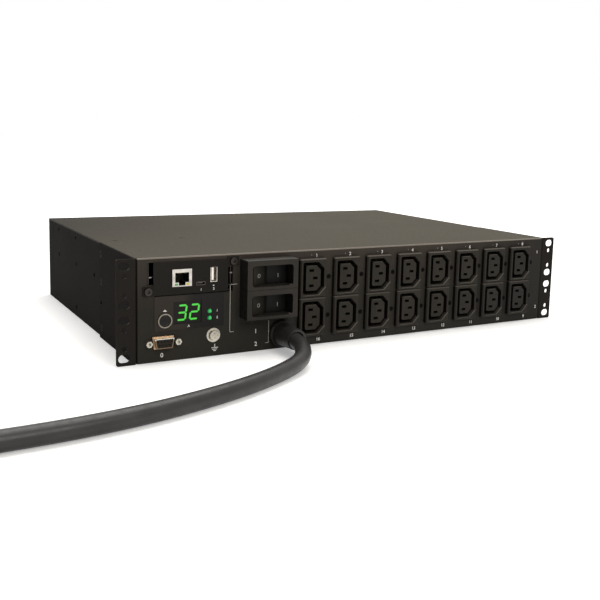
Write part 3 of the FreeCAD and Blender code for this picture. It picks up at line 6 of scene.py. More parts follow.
import bmesh
import bpy
from mathutils import Euler, Matrix, Vector


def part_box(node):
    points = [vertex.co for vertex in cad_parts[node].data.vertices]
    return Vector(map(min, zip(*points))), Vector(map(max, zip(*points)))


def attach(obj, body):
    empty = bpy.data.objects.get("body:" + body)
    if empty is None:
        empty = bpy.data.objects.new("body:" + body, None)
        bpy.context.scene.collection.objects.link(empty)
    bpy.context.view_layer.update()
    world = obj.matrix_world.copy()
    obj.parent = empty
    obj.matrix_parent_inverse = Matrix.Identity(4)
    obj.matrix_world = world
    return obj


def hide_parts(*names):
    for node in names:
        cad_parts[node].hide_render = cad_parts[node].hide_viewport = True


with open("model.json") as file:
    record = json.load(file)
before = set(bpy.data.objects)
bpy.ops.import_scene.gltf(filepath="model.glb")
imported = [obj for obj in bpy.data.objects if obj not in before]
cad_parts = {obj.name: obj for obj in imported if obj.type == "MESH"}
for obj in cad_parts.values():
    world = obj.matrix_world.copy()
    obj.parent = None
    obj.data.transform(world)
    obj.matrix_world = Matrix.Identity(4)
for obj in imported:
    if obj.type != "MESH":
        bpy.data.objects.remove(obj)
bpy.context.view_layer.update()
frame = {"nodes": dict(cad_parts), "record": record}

# Shared places, in metres

MM = 0.001
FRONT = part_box("front_panel")[0].y
CHASSIS = "chassis"
ROCKER_X = -0.1066
PROUD_Y = FRONT - 0.0015

# Camera: the photograph's own, found from the ears' corners and holes

CAMERA_PLACE = Vector((-0.4265, -0.8185, 0.1930))
CAMERA_AZIMUTH = math.radians(-30.41)
CAMERA_ELEVATION = math.radians(7.93)
CAMERA_ROLL = math.radians(1.65)
CAMERA_LENS = 50.36
CAMERA_SHIFT = (-0.05, -0.0833)


def make_camera():
    """The scene's camera."""
    lens = bpy.data.cameras.new("camera")
    lens.sensor_width = 36
    lens.lens = CAMERA_LENS
    lens.shift_x, lens.shift_y = CAMERA_SHIFT
    lens.clip_start, lens.clip_end = 0.01, 50
    camera = bpy.data.objects.new("camera", lens)
    bpy.context.scene.collection.objects.link(camera)
    back = Vector((
        math.sin(CAMERA_AZIMUTH) * math.cos(CAMERA_ELEVATION),
        -math.cos(CAMERA_AZIMUTH) * math.cos(CAMERA_ELEVATION),
        math.sin(CAMERA_ELEVATION),
    ))
    right = Vector((math.cos(CAMERA_AZIMUTH), math.sin(CAMERA_AZIMUTH), 0))
    up = back.cross(right)
    rolled_right = right * math.cos(CAMERA_ROLL) + up * math.sin(CAMERA_ROLL)
    rolled_up = up * math.cos(CAMERA_ROLL) - right * math.sin(CAMERA_ROLL)
    axes = Matrix((rolled_right, rolled_up, back)).transposed()
    camera.matrix_world = Matrix.Translation(CAMERA_PLACE) @ axes.to_4x4()
    bpy.context.scene.camera = camera


make_camera()

# Cord: out of the gland, down to the floor, round to the left and into a put-away coil

CORD_DIAMETER = 0.014
CORD_LOW = 0.0071
CORD_UPPER = 0.0211
GLAND_X, GLAND_Z = -0.090, 0.0144
CORD_EXIT = (GLAND_X, FRONT - 0.002, GLAND_Z)
COIL_CENTRE = (-0.465, -0.2145)
COIL_OUTER, COIL_INNER, COIL_UPPER = 0.0975, 0.056, 0.084
TURN_POINTS = 16
TAIL_LENGTH = 0.0644
PLUG_Z = 0.0258


def coil_points():
    """Three turns inwards on the floor, a climb, and two turns outwards on top of them."""
    points = []
    turns = [
        (3.0, COIL_OUTER, COIL_INNER, CORD_LOW, CORD_LOW),
        (0.25, COIL_INNER, COIL_INNER, CORD_LOW, CORD_UPPER),
        (2.0, COIL_INNER, COIL_UPPER, CORD_UPPER, CORD_UPPER),
    ]
    angle = -math.pi / 2
    for count, start_radius, end_radius, start_height, end_height in turns:
        steps = round(count * TURN_POINTS)
        for step in range(steps):
            part = step / steps
            radius = start_radius + (end_radius - start_radius) * part
            height = start_height + (end_height - start_height) * part
            turn = angle - part * count * math.tau
            points.append((
                COIL_CENTRE[0] + radius * math.cos(turn),
                COIL_CENTRE[1] + radius * math.sin(turn),
                height,
            ))
        angle -= count * math.tau
    return points


def make_cord():
    """The mains cord as one smooth curve, whose points carry the cord's own radius."""
    route = [
        CORD_EXIT,
        (GLAND_X, FRONT - 0.0366, GLAND_Z),
        (GLAND_X - 0.0103, FRONT - 0.0645, 0.0107),
        (GLAND_X - 0.0318, FRONT - 0.0837, CORD_LOW),
        (GLAND_X - 0.0977, FRONT - 0.1195, CORD_LOW),
        (GLAND_X - 0.1919, FRONT - 0.1468, CORD_LOW),
        (GLAND_X - 0.302, COIL_CENTRE[1] - COIL_OUTER - 0.001, CORD_LOW),
    ]
    tail_x = COIL_CENTRE[0] - COIL_UPPER
    tail = [
        (tail_x, COIL_CENTRE[1] + 0.010, CORD_UPPER + 0.0005),
        (tail_x, COIL_CENTRE[1] + 0.038, CORD_UPPER + 0.0028),
        (tail_x, COIL_CENTRE[1] + TAIL_LENGTH, PLUG_Z),
    ]
    points = route + coil_points() + tail
    line = bpy.data.curves.new("mains_cord", "CURVE")
    line.dimensions = "3D"
    line.bevel_depth = 1.0
    line.bevel_resolution = 6
    line.use_fill_caps = True
    spline = line.splines.new("NURBS")
    spline.points.add(len(points) - 1)
    for control, point in zip(spline.points, points):
        control.co = (*point, 1)
        control.radius = CORD_DIAMETER / 2
    spline.order_u = 3
    spline.use_endpoint_u = True
    spline.resolution_u = 8
    cord = bpy.data.objects.new("mains_cord", line)
    bpy.context.scene.collection.objects.link(cord)
    bare = line.copy()
    bare.bevel_depth = 0
    ruler = bpy.data.objects.new("cord_ruler", bare)
    mesh = bpy.data.meshes.new_from_object(ruler)
    bpy.data.objects.remove(ruler)
    bpy.data.meshes.remove(mesh)
    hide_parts("power_cord", "cord_coil")
    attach(cord, CHASSIS)
    return cord


cord = make_cord()

# Materials


class Nodes:
    """A small helper that builds one material's node tree."""

    def __init__(self, name):
        self.material = bpy.data.materials.new(name)
        self.material.use_nodes = True
        self.tree = self.material.node_tree
        self.shader = next(node for node in self.tree.nodes if node.type == "BSDF_PRINCIPLED")
        self.place = self.add("ShaderNodeTexCoord").outputs["Object"]

    def add(self, kind, **settings):
        """Add a node and set its properties."""
        node = self.tree.nodes.new(kind)
        for key, value in settings.items():
            setattr(node, key, value)
        return node

    def link(self, source, target):
        """Join two sockets."""
        self.tree.links.new(source, target)

    def noise(self, scale, detail=2.0, stretch=(1, 1, 1), roughness=0.5):
        """Noise at a scale in cells per metre."""
        mapping = self.add("ShaderNodeMapping")
        mapping.inputs["Scale"].default_value = stretch
        self.link(self.place, mapping.inputs["Vector"])
        noise = self.add("ShaderNodeTexNoise")
        noise.inputs["Scale"].default_value = scale
        noise.inputs["Detail"].default_value = detail
        noise.inputs["Roughness"].default_value = roughness
        self.link(mapping.outputs[0], noise.inputs["Vector"])
        return noise.outputs["Fac"]

    def spread(self, value, low, high, start=0.3, end=0.7):
        """Map a value from start..end to low..high."""
        spread = self.add("ShaderNodeMapRange")
        spread.inputs["From Min"].default_value = start
        spread.inputs["From Max"].default_value = end
        spread.inputs["To Min"].default_value = low
        spread.inputs["To Max"].default_value = high
        self.link(value, spread.inputs["Value"])
        return spread.outputs["Result"]

    def blend(self, factor, first, second):
        """Mix two colours or two sockets by a factor."""
        mix = self.add("ShaderNodeMix", data_type="RGBA")
        self.link(factor, mix.inputs["Factor"])
        for value, socket in ((first, mix.inputs["A"]), (second, mix.inputs["B"])):
            if isinstance(value, tuple):
                socket.default_value = (*value, 1)
            else:
                self.link(value, socket)
        return mix.outputs["Result"]

    def times(self, first, second):
        """Multiply two values."""
        product = self.add("ShaderNodeMath", operation="MULTIPLY")
        self.link(first, product.inputs[0])
        self.link(second, product.inputs[1])
        return product.outputs[0]

    def part(self, axis):
        """One coordinate of the unit's own frame, in metres."""
        split = self.add("ShaderNodeSeparateXYZ")
        self.link(self.place, split.inputs[0])
        return split.outputs[axis]

    def within(self, axis, low, high, soft=0.0002):
        """1 between two places along an axis and 0 outside them, in metres."""
        value = self.part(axis)
        after = self.spread(value, 0, 1, low - soft, low + soft)
        return self.times(after, self.spread(value, 1, 0, high - soft, high + soft))

    def apart(self, x, z):
        """The distance from a line that runs straight back at a place on the front, in metres."""
        offset = self.add("ShaderNodeVectorMath", operation="SUBTRACT")
        offset.inputs[1].default_value = (x, 0, z)
        self.link(self.place, offset.inputs[0])
        flat = self.add("ShaderNodeVectorMath", operation="MULTIPLY")
        flat.inputs[1].default_value = (1, 0, 1)
        self.link(offset.outputs[0], flat.inputs[0])
        length = self.add("ShaderNodeVectorMath", operation="LENGTH")
        self.link(flat.outputs[0], length.inputs[0])
        return length.outputs["Value"]

    def lit_edge(self):
        """1 on narrow slopes that look upwards and outwards, which catch the overhead light; the tone laid
        there is a painted highlight.
        """
        height = self.facing()["Z"]
        rise = self.spread(height, 0, 1, 0.30, 0.55)
        return self.times(rise, self.spread(height, 1, 0, 0.90, 0.98))

    def left_wall(self):
        """1 on walls that look to the left, which stand in the unit's own shade."""
        return self.spread(self.facing()["X"], 1, 0, -0.9, -0.6)

    def bump(self, height, strength, distance):
        """Feed a height into the shader's normal."""
        bump = self.add("ShaderNodeBump")
        bump.inputs["Strength"].default_value = strength
        bump.inputs["Distance"].default_value = distance
        self.link(height, bump.inputs["Height"])
        self.link(bump.outputs[0], self.shader.inputs["Normal"])

    def paint(self, color):
        """Give the shader its colour."""
        self.link(color, self.shader.inputs["Base Color"])

    def rough(self, pattern, low, high, start=0.3, end=0.7):
        """Spread a pattern over a range of roughness."""
        self.link(self.spread(pattern, low, high, start, end), self.shader.inputs["Roughness"])

    def facing(self):
        """The way that the surface looks, as separate coordinates."""
        geometry = self.add("ShaderNodeNewGeometry")
        split = self.add("ShaderNodeSeparateXYZ")
        self.link(geometry.outputs["True Normal"], split.inputs[0])
        return split.outputs

    def set(self, **values):
        """Set sockets of the shader that are the same all over."""
        for key, value in values.items():
            self.shader.inputs[key.replace("_", " ")].default_value = value


def banded(nodes, coat, bands):
    """Lay bands of another tone over a coat.

    Each band is an axis, the places where it starts and is full, in metres, and its colour.
    """
    for axis, start, full, tone in bands:
        coat = nodes.blend(nodes.spread(nodes.part(axis), 0, 1, start, full), coat, tone)
    return coat


def shade(color, factor):
    """A colour made lighter or darker."""
    return tuple(min(1.0, channel * factor) for channel in color)


def powder_coat(name, color, roughness=0.5, specular=0.25, edge=None, bands=()):
    """Baked powder coat: fine orange peel, and a slight change of tone over a hand's width."""
    nodes = Nodes(name)
    tone = nodes.noise(14, 3)
    speck = nodes.noise(2600, 2)
    broad = nodes.blend(nodes.spread(tone, 0, 1), shade(color, 0.90), shade(color, 1.10))
    coat = banded(nodes, nodes.blend(nodes.spread(speck, 0, 0.35, 0.5, 0.8), broad, shade(color, 1.9)), bands)
    # Painted highlight on the coat's upward slopes.
    if edge:
        coat = nodes.blend(nodes.lit_edge(), coat, edge)
    nodes.paint(coat)
    nodes.rough(nodes.noise(700, 2), roughness - 0.05, roughness + 0.05)
    nodes.bump(nodes.noise(1500, 3), 0.18, 0.0002)
    nodes.set(Specular_IOR_Level=specular)
    return nodes.material


def moulded(
    name, color, roughness=0.42, specular=0.3, grain=2200, depth=0.12, edge=None, wall=None, bands=(),
):
    """Moulded plastic or rubber: a fine spark-eroded grain and faint flow marks."""
    nodes = Nodes(name)
    flow = nodes.noise(60, 2, (1, 1, 0.4))
    tone = banded(nodes, nodes.blend(nodes.spread(flow, 0, 1), shade(color, 0.88), shade(color, 1.14)), bands)
    # Painted highlight on upward slopes of parts proud of the panel.
    if edge:
        tone = nodes.blend(nodes.times(nodes.lit_edge(), nodes.within("Y", -1, PROUD_Y)), tone, edge)
    # Painted shade: walls that look to the left are darkened by the wall factor.
    if wall:
        tone = nodes.blend(nodes.left_wall(), tone, shade(color, wall))
    nodes.paint(tone)
    nodes.rough(nodes.noise(420, 2), roughness - 0.06, roughness + 0.06)
    nodes.bump(nodes.noise(grain, 2), depth, 0.0001)
    nodes.set(Specular_IOR_Level=specular)
    return nodes.material


def plated(name, color, roughness=0.25, stretch=(1, 1, 12), tarnish=0.7):
    """Plated or bare metal: drawn streaks and slight tarnish."""
    nodes = Nodes(name)
    streak = nodes.noise(1800, 3, stretch)
    cloud = nodes.noise(220, 2)
    nodes.paint(nodes.blend(nodes.spread(cloud, 0, 1), shade(color, tarnish), color))
    nodes.rough(streak, roughness - 0.08, roughness + 0.1)
    nodes.bump(streak, 0.08, 0.00005)
    nodes.set(Metallic=1.0)
    return nodes.material


def circuit_board(name):
    """Green solder mask over darker tracks, with tinned pads."""
    nodes = Nodes(name)
    tracks = nodes.add("ShaderNodeTexBrick")
    tracks.inputs["Scale"].default_value = 90
    tracks.inputs["Mortar Size"].default_value = 0.06
    tracks.inputs["Color1"].default_value = (0.012, 0.060, 0.026, 1)
    tracks.inputs["Color2"].default_value = (0.018, 0.085, 0.036, 1)
    tracks.inputs["Mortar"].default_value = (0.008, 0.038, 0.018, 1)
    nodes.link(nodes.place, tracks.inputs["Vector"])
    pads = nodes.add("ShaderNodeTexVoronoi")
    pads.inputs["Scale"].default_value = 240
    nodes.link(nodes.place, pads.inputs["Vector"])
    pad = nodes.spread(pads.outputs["Distance"], 1, 0, 0.10, 0.14)
    nodes.paint(nodes.blend(pad, tracks.outputs["Color"], (0.55, 0.55, 0.52)))
    nodes.rough(pad, 0.35, 0.22, 0, 1)
    nodes.bump(tracks.outputs["Fac"], 0.1, 0.00005)
    return nodes.material


def film(name, color, roughness=0.12, specular=0.4, bands=()):
    """Printed label film, very slightly uneven."""
    nodes = Nodes(name)
    tone = nodes.noise(30, 2)
    coat = nodes.blend(nodes.spread(tone, 0, 1), shade(color, 0.85), shade(color, 1.2))
    nodes.paint(banded(nodes, coat, bands))
    nodes.rough(nodes.noise(90, 2), roughness - 0.04, roughness + 0.06)
    nodes.bump(nodes.noise(160, 2), 0.04, 0.0004)
    nodes.set(Specular_IOR_Level=specular)
    return nodes.material


def glowing(name, color, strength, base=None):
    """A lit segment or light: its glow varies a little over its surface."""
    nodes = Nodes(name)
    glow = nodes.noise(900, 2)
    lit = nodes.blend(nodes.spread(glow, 0, 1), shade(color, 0.82), color)
    nodes.link(lit, nodes.shader.inputs["Emission Color"])
    nodes.paint(nodes.blend(nodes.spread(glow, 0, 1), base or shade(color, 0.5), shade(color, 0.6)))
    nodes.set(Emission_Strength=strength, Roughness=0.3)
    return nodes.material


def ink(name, color):
    """Screen-printed ink with a slightly broken surface."""
    nodes = Nodes(name)
    grain = nodes.noise(5200, 2)
    nodes.paint(nodes.blend(nodes.spread(grain, 0, 1, 0.35, 0.5), shade(color, 0.78), color))
    nodes.bump(grain, 0.1, 0.00005)
    nodes.set(Roughness=0.55)
    return nodes.material


def cord_jacket(name):
    """Smooth vinyl jacket with a faint lengthwise lay and rubbed patches."""
    nodes = Nodes(name)
    rub = nodes.noise(70, 3)
    nodes.paint(nodes.blend(nodes.spread(rub, 0, 1), (0.014, 0.0134, 0.0128), (0.0245, 0.0233, 0.0222)))
    nodes.rough(nodes.noise(160, 2), 0.30, 0.46)
    nodes.bump(nodes.noise(900, 3), 0.10, 0.0002)
    nodes.set(Specular_IOR_Level=0.35)
    return nodes.material


def rocker_finish(name):
    """Glossy rocker plastic, painted lighter and browner on the half that stands out when it is on, as a
    painted reflection of the warm light that this half faces.
    """
    nodes = Nodes(name)
    flow = nodes.noise(60, 2, (1, 1, 0.4))
    black = nodes.blend(nodes.spread(flow, 0, 1), (0.0060, 0.0060, 0.0058), (0.0080, 0.0080, 0.0076))
    # Painted reflection on the raised half, left of the rocker's middle.
    left = nodes.spread(nodes.part("X"), 1, 0, ROCKER_X - 0.0035, ROCKER_X - 0.0025)
    nodes.paint(nodes.blend(left, black, (0.0175, 0.0160, 0.0115)))
    nodes.rough(nodes.noise(420, 2), 0.34, 0.44)
    nodes.bump(nodes.noise(900, 2), 0.04, 0.0001)
    nodes.set(Specular_IOR_Level=0.10)
    return nodes.material


def ring_metal(name, low, high, rim, bright, dark):
    """A pressed ring: bright metal only round its rim, as a painted highlight, and a dark tone inside it."""
    nodes = Nodes(name)
    middle = (low + high) / 2
    reach = (high.z - low.z) / 2
    away = nodes.apart(middle.x, middle.z)
    edge = nodes.spread(away, 0, 1, reach - rim - 0.0002, reach - rim)
    rim_highlight = nodes.blend(nodes.spread(nodes.noise(900, 2), 0, 1), shade(bright, 0.75), bright)
    nodes.paint(nodes.blend(edge, dark, rim_highlight))
    nodes.rough(nodes.noise(600, 2), 0.28, 0.42)
    nodes.link(edge, nodes.shader.inputs["Metallic"])
    nodes.bump(nodes.noise(1600, 2), 0.06, 0.00005)
    return nodes.material


def port_metal(name, low, high, cap, bright, dark):
    """A folded steel port shell: its long walls bright as a painted highlight, and its two ends dark as
    painted shade.
    """
    nodes = Nodes(name)
    lit_walls = nodes.within("Z", low.z + cap, high.z - cap)
    cloud = nodes.blend(nodes.spread(nodes.noise(500, 2), 0, 1), shade(bright, 0.8), bright)
    nodes.paint(nodes.blend(lit_walls, dark, cloud))
    nodes.rough(nodes.noise(1500, 3, (1, 1, 10)), 0.22, 0.4)
    nodes.bump(nodes.noise(1500, 3, (1, 1, 10)), 0.06, 0.00005)
    nodes.set(Metallic=1.0)
    return nodes.material


def shell_metal(name, top, rim, upper_highlight):
    """The connector shell: a bronze rim of uneven tone, the proud shell painted darker as painted shade, and
    a silver painted highlight on its upper wall.
    """
    nodes = Nodes(name)
    proud = nodes.within("Y", -1, PROUD_Y - 0.0003)
    # Painted highlight on the upper wall of the proud shell.
    upper = nodes.times(proud, nodes.spread(nodes.part("Z"), 0, 1, top - 0.0003, top + 0.0003))
    cloud = nodes.blend(nodes.spread(nodes.noise(700, 2), 0, 1), shade(rim, 0.7), rim)
    # Painted shade: the proud shell darker than the bronze rim near the panel.
    shaded_shell = nodes.blend(proud, cloud, shade(rim, 0.45))
    nodes.paint(nodes.blend(upper, shaded_shell, upper_highlight))
    nodes.rough(nodes.noise(900, 3), 0.25, 0.4)
    nodes.bump(nodes.noise(1500, 2), 0.06, 0.00005)
    nodes.set(Metallic=1.0)
    return nodes.material


WARM_BLACK = (0.0135, 0.0122, 0.0106)
# The cover wears the same warm black coat as the rest; its colour is painted about four times lighter, as
# painted overhead light on the top.
COVER_LIT_TONE = (0.058, 0.051, 0.0375)
# Painted shade darkening the cover towards its left end, and painted light making it slightly lighter towards
# the front.
COVER_PAINTED_LIGHT = [("X", 0.0, -0.23, shade(COVER_LIT_TONE, 0.45)), ("Y", 0.08, -0.15, shade(COVER_LIT_TONE, 1.02))]
# Painted highlight colour for upward edges.
EDGE_HIGHLIGHT_TONE = (0.115, 0.100, 0.085)

LABEL_MIDDLE = sum(corner.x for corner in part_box("display_overlay")) / 2
PANEL_TONE = (0.0240, 0.0222, 0.0182)
PANEL_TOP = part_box("front_panel")[1].z
SHELL_UPPER_WALL = 0.0196
# Painted light and shade on the panel: lighter towards the top as painted overhead light, darker towards the
# right end as painted shade, and a painted highlight line along the rounded top edge.
PANEL_PAINTED_LIGHT = [
    ("Z", 0.045, 0.090, (0.042, 0.034, 0.0275)),
    ("X", 0.08, 0.24, (0.0160, 0.0150, 0.0130)),
    ("Z", PANEL_TOP - 0.0011, PANEL_TOP - 0.0007, (0.27, 0.245, 0.21)),
]

MATERIALS = {
    "powder_coat": powder_coat("powder_coat", COVER_LIT_TONE, 0.62, 0.04, bands=COVER_PAINTED_LIGHT),
    # Front panel and card: painted highlight on their upward edges.
    "panel_coat": powder_coat("panel_coat", PANEL_TONE, 0.55, 0.08, EDGE_HIGHLIGHT_TONE, PANEL_PAINTED_LIGHT),
    # Ears: painted highlight on their upward edges, and painted shade on the side plates behind the front
    # flange.
    "ear_coat": powder_coat(
        "ear_coat", shade(WARM_BLACK, 1.45), 0.78, 0.02, shade(EDGE_HIGHLIGHT_TONE, 0.6),
        [("Y", FRONT + 0.0022, FRONT + 0.0028, shade(WARM_BLACK, 0.7))],
    ),
    "card_coat": powder_coat("card_coat", shade(WARM_BLACK, 1.05), 0.55, 0.06, shade(EDGE_HIGHLIGHT_TONE, 0.7)),
    "dark_screw": plated("dark_screw", (0.034, 0.031, 0.027), 0.50),
    "black_screw": plated("black_screw", (0.045, 0.040, 0.036), 0.36),
    "bright_steel": plated("bright_steel", (0.72, 0.70, 0.66), 0.22),
    "bronze_plate": plated("bronze_plate", (0.62, 0.46, 0.30), 0.28),
    "circuit_board": circuit_board("circuit_board"),
    # Black plastic: painted highlight on upward edges, painted shade on walls that look to the left, and
    # darker towards the right end as painted shade.
    "black_plastic": moulded(
        "black_plastic", (0.0215, 0.0190, 0.0145), 0.46, 0.10, edge=shade(EDGE_HIGHLIGHT_TONE, 0.7), wall=0.3,
        bands=[("X", 0.08, 0.24, (0.0150, 0.0140, 0.0118))],
    ),
    # Satin plastic: a bright painted highlight on upward edges, and painted shade on walls that look to the
    # left.
    "satin_plastic": moulded(
        "satin_plastic", (0.0225, 0.0200, 0.0165), 0.48, 0.14, edge=shade(EDGE_HIGHLIGHT_TONE, 1.6), wall=0.3,
    ),
    "rocker_plastic": rocker_finish("rocker_plastic"),
    "button_plastic": moulded("button_plastic", (0.0105, 0.0098, 0.0088), 0.34, 0.18, 1200, 0.05),
    "relay_plastic": moulded("relay_plastic", (0.035, 0.045, 0.060), 0.4),
    "label_film": film(
        "label_film", (0.0270, 0.0220, 0.0170), 0.40, 0.14,
        [("X", LABEL_MIDDLE - 0.006, LABEL_MIDDLE + 0.004, (0.0095, 0.0090, 0.0080))],
    ),
    "dark_lens": film("dark_lens", (0.0105, 0.0095, 0.0080), 0.40, 0.15),
    "green_lens": glowing("green_lens", (0.008, 0.34, 0.07), 0.5),
    "clear_lens": moulded("clear_lens", (0.008, 0.008, 0.008), 0.35, 0.2),
    "contact_brass": plated("contact_brass", (0.52, 0.42, 0.26), 0.35),
    "soft_rubber": moulded("soft_rubber", (0.0125, 0.012, 0.0115), 0.46, 0.35, 1400, 0.16),
    "cord_jacket": cord_jacket("cord_jacket"),
}


OWN_MATERIALS = {
    # The tray's sides: the same warm black coat, painted darker as painted shade.
    "chassis_tray": powder_coat("shaded_side_coat", shade(WARM_BLACK, 0.85), 0.78, 0.02),
    "button_ring": ring_metal(
        "ring_metal", *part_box("button_ring"), 0.0009, (0.34, 0.315, 0.25), (0.012, 0.011, 0.010),
    ),
    "console_port": plated("dull_steel", (0.13, 0.12, 0.11), 0.42),
    "usb_port": port_metal(
        "port_metal", *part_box("usb_port"), 0.0007, (0.74, 0.70, 0.64), (0.05, 0.035, 0.028),
    ),
    "serial_connector_shell": shell_metal(
        "shell_metal", SHELL_UPPER_WALL, (0.50, 0.345, 0.22), (0.80, 0.77, 0.70),
    ),
    "ear_screws": powder_coat("screw_coat", (0.020, 0.019, 0.017), 0.7, 0.03),
    "cover_screws": powder_coat("cover_screw_coat", (0.040, 0.037, 0.030), 0.65, 0.04),
    "cable_gland": moulded("gland_plastic", (0.0105, 0.0100, 0.0090), 0.42, 0.16),
    "ethernet_jack_shield": plated("jack_steel", (0.55, 0.52, 0.48), 0.30),
    "ground_screw": plated("ground_nickel", (0.70, 0.66, 0.57), 0.27),
    "serial_jack_screws": plated("jack_nickel", (0.60, 0.57, 0.50), 0.28),
    "card_cage": plated("cage_steel", (0.045, 0.044, 0.042), 0.45),
    # The outlet contacts: the same brass, painted far darker as painted shade deep in their slots.
    "outlet_contacts": plated("shaded_brass", (0.09, 0.075, 0.05), 0.5),
}


def finish_nodes():
    """Give every CAD node its own material, or else the one of its slot in the record."""
    for part in frame["record"]["subparts"]:
        piece = frame["nodes"][part["node"]]
        piece.data.materials.clear()
        piece.data.materials.append(OWN_MATERIALS.get(part["node"], MATERIALS[part["material_slot"]]))


finish_nodes()
cord.data.materials.append(MATERIALS["cord_jacket"])

# Helpers for added pieces


def add_piece(name, data, material, body=CHASSIS):
    """Link an object, give it its finish and let it ride on a body."""
    piece = bpy.data.objects.new(name, data)
    bpy.context.scene.collection.objects.link(piece)
    data.materials.append(material)
    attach(piece, body)
    return piece


def flat_mesh(name, outlines, y, thickness):
    """Thin flat shapes on the front: each outline is a list of (x, z) in metres."""
    mesh = bpy.data.meshes.new(name)
    bm = bmesh.new()
    for outline in outlines:
        face = bm.faces.new([bm.verts.new((x, y, z)) for x, z in outline])
        raised = bmesh.ops.extrude_face_region(bm, geom=[face])
        bmesh.ops.translate(bm, vec=(0, -thickness, 0),
                            verts=[item for item in raised["geom"] if isinstance(item, bmesh.types.BMVert)])
    bmesh.ops.recalc_face_normals(bm, faces=bm.faces)
    bm.to_mesh(mesh)
    bm.free()
    return mesh


def rounded_plate(name, x0, z0, x1, z1, y, depth, material, radius=0.3):
    """A small bevelled plate, in millimetres, whose front is at y."""
    mesh = bpy.data.meshes.new(name)
    bm = bmesh.new()
    bmesh.ops.create_cube(bm, size=1.0)
    bmesh.ops.scale(bm, vec=((x1 - x0) * MM, depth * MM, (z1 - z0) * MM), verts=bm.verts)
    bmesh.ops.translate(bm, vec=((x0 + x1) / 2 * MM, y + depth / 2 * MM, (z0 + z1) / 2 * MM), verts=bm.verts)
    bmesh.ops.bevel(bm, geom=bm.edges, offset=min(radius, depth * 0.45) * MM, segments=3, affect="EDGES")
    bm.to_mesh(mesh)
    bm.free()
    return add_piece(name, mesh, material)


def strip(x0, z0, x1, z1, width):
    """The outline of a straight line of a given width, in metres."""
    along = Vector((x1 - x0, z1 - z0)).normalized() * width / 2
    across = Vector((-along.y, along.x))
    return [
        (x0 - along.x - across.x, z0 - along.y - across.y),
        (x1 + along.x - across.x, z1 + along.y - across.y),
        (x1 + along.x + across.x, z1 + along.y + across.y),
        (x0 - along.x + across.x, z0 - along.y + across.y),
    ]


def millimetres(outline):
    """An outline given in millimetres, in metres."""
    return [(x * MM, z * MM) for x, z in outline]


WHITE_INK = ink("white_ink", (0.78, 0.77, 0.75))
PALE_INK = ink("pale_ink", (0.46, 0.44, 0.40))
DIM_INK = ink("dim_ink", (0.32, 0.31, 0.29))
PRINT_GAP = 0.00003
PRINT_DEPTH = 0.00003
CAPITAL_SHARE = 0.69
INK_SPREAD = 0.022
CARD_FACE = FRONT - 1.2 * MM
LABEL_FACE = FRONT - 0.5 * MM


def strips(lines, width):
    """The outlines of straight lines, all in millimetres, in metres."""
    return [strip(*(value * MM for value in line), width * MM) for line in lines]


def film_piece(name, outlines, y, material, gap=PRINT_GAP, depth=PRINT_DEPTH):
    """Flat shapes laid on a surface that faces forwards."""
    return add_piece(name, flat_mesh(name, outlines, y - gap, depth), material)


def printed(name, text, x, z, height, material=WHITE_INK, y=FRONT, body=CHASSIS, turn=0.0, place=None):
    """A printed figure on a front-facing surface. Height is of a capital, in millimetres."""
    figure = bpy.data.curves.new(name, "FONT")
    figure.body = text
    figure.align_x = "CENTER"
    figure.align_y = "CENTER"
    figure.size = height * MM / CAPITAL_SHARE
    figure.offset = height * MM * INK_SPREAD
    figure.extrude = PRINT_DEPTH
    figure.resolution_u = 4
    piece = bpy.data.objects.new(name, figure)
    bpy.context.scene.collection.objects.link(piece)
    piece.matrix_world = (
        Matrix.Translation(place or (x * MM, y - PRINT_GAP - PRINT_DEPTH, z * MM))
        @ Euler((math.pi / 2, 0, turn)).to_matrix().to_4x4()
    )
    figure.materials.append(material)
    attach(piece, body)
    return piece


# Painted highlight lines at the outlets' openings and cores, and the lenses beside them

OUTLET_BOXES = {number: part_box(f"outlet_{number:02d}") for number in range(1, 17)}
SOCKET_WIDTH, SOCKET_HEIGHT, SOCKET_CUT = 21.8, 29.4, 6.0
CORE_WIDTH, CORE_HEIGHT, CORE_CUT = 15.0, 23.0, 4.2
CORE_RECESS = 0.8
LIP_WIDTH, CORNER_WIDTH, CORE_EDGE_WIDTH = 0.30, 0.60, 0.45
INDICATOR_OFFSET, INDICATOR_RADIUS = 18.1, 2.2
CIRCLE_STEPS = 24


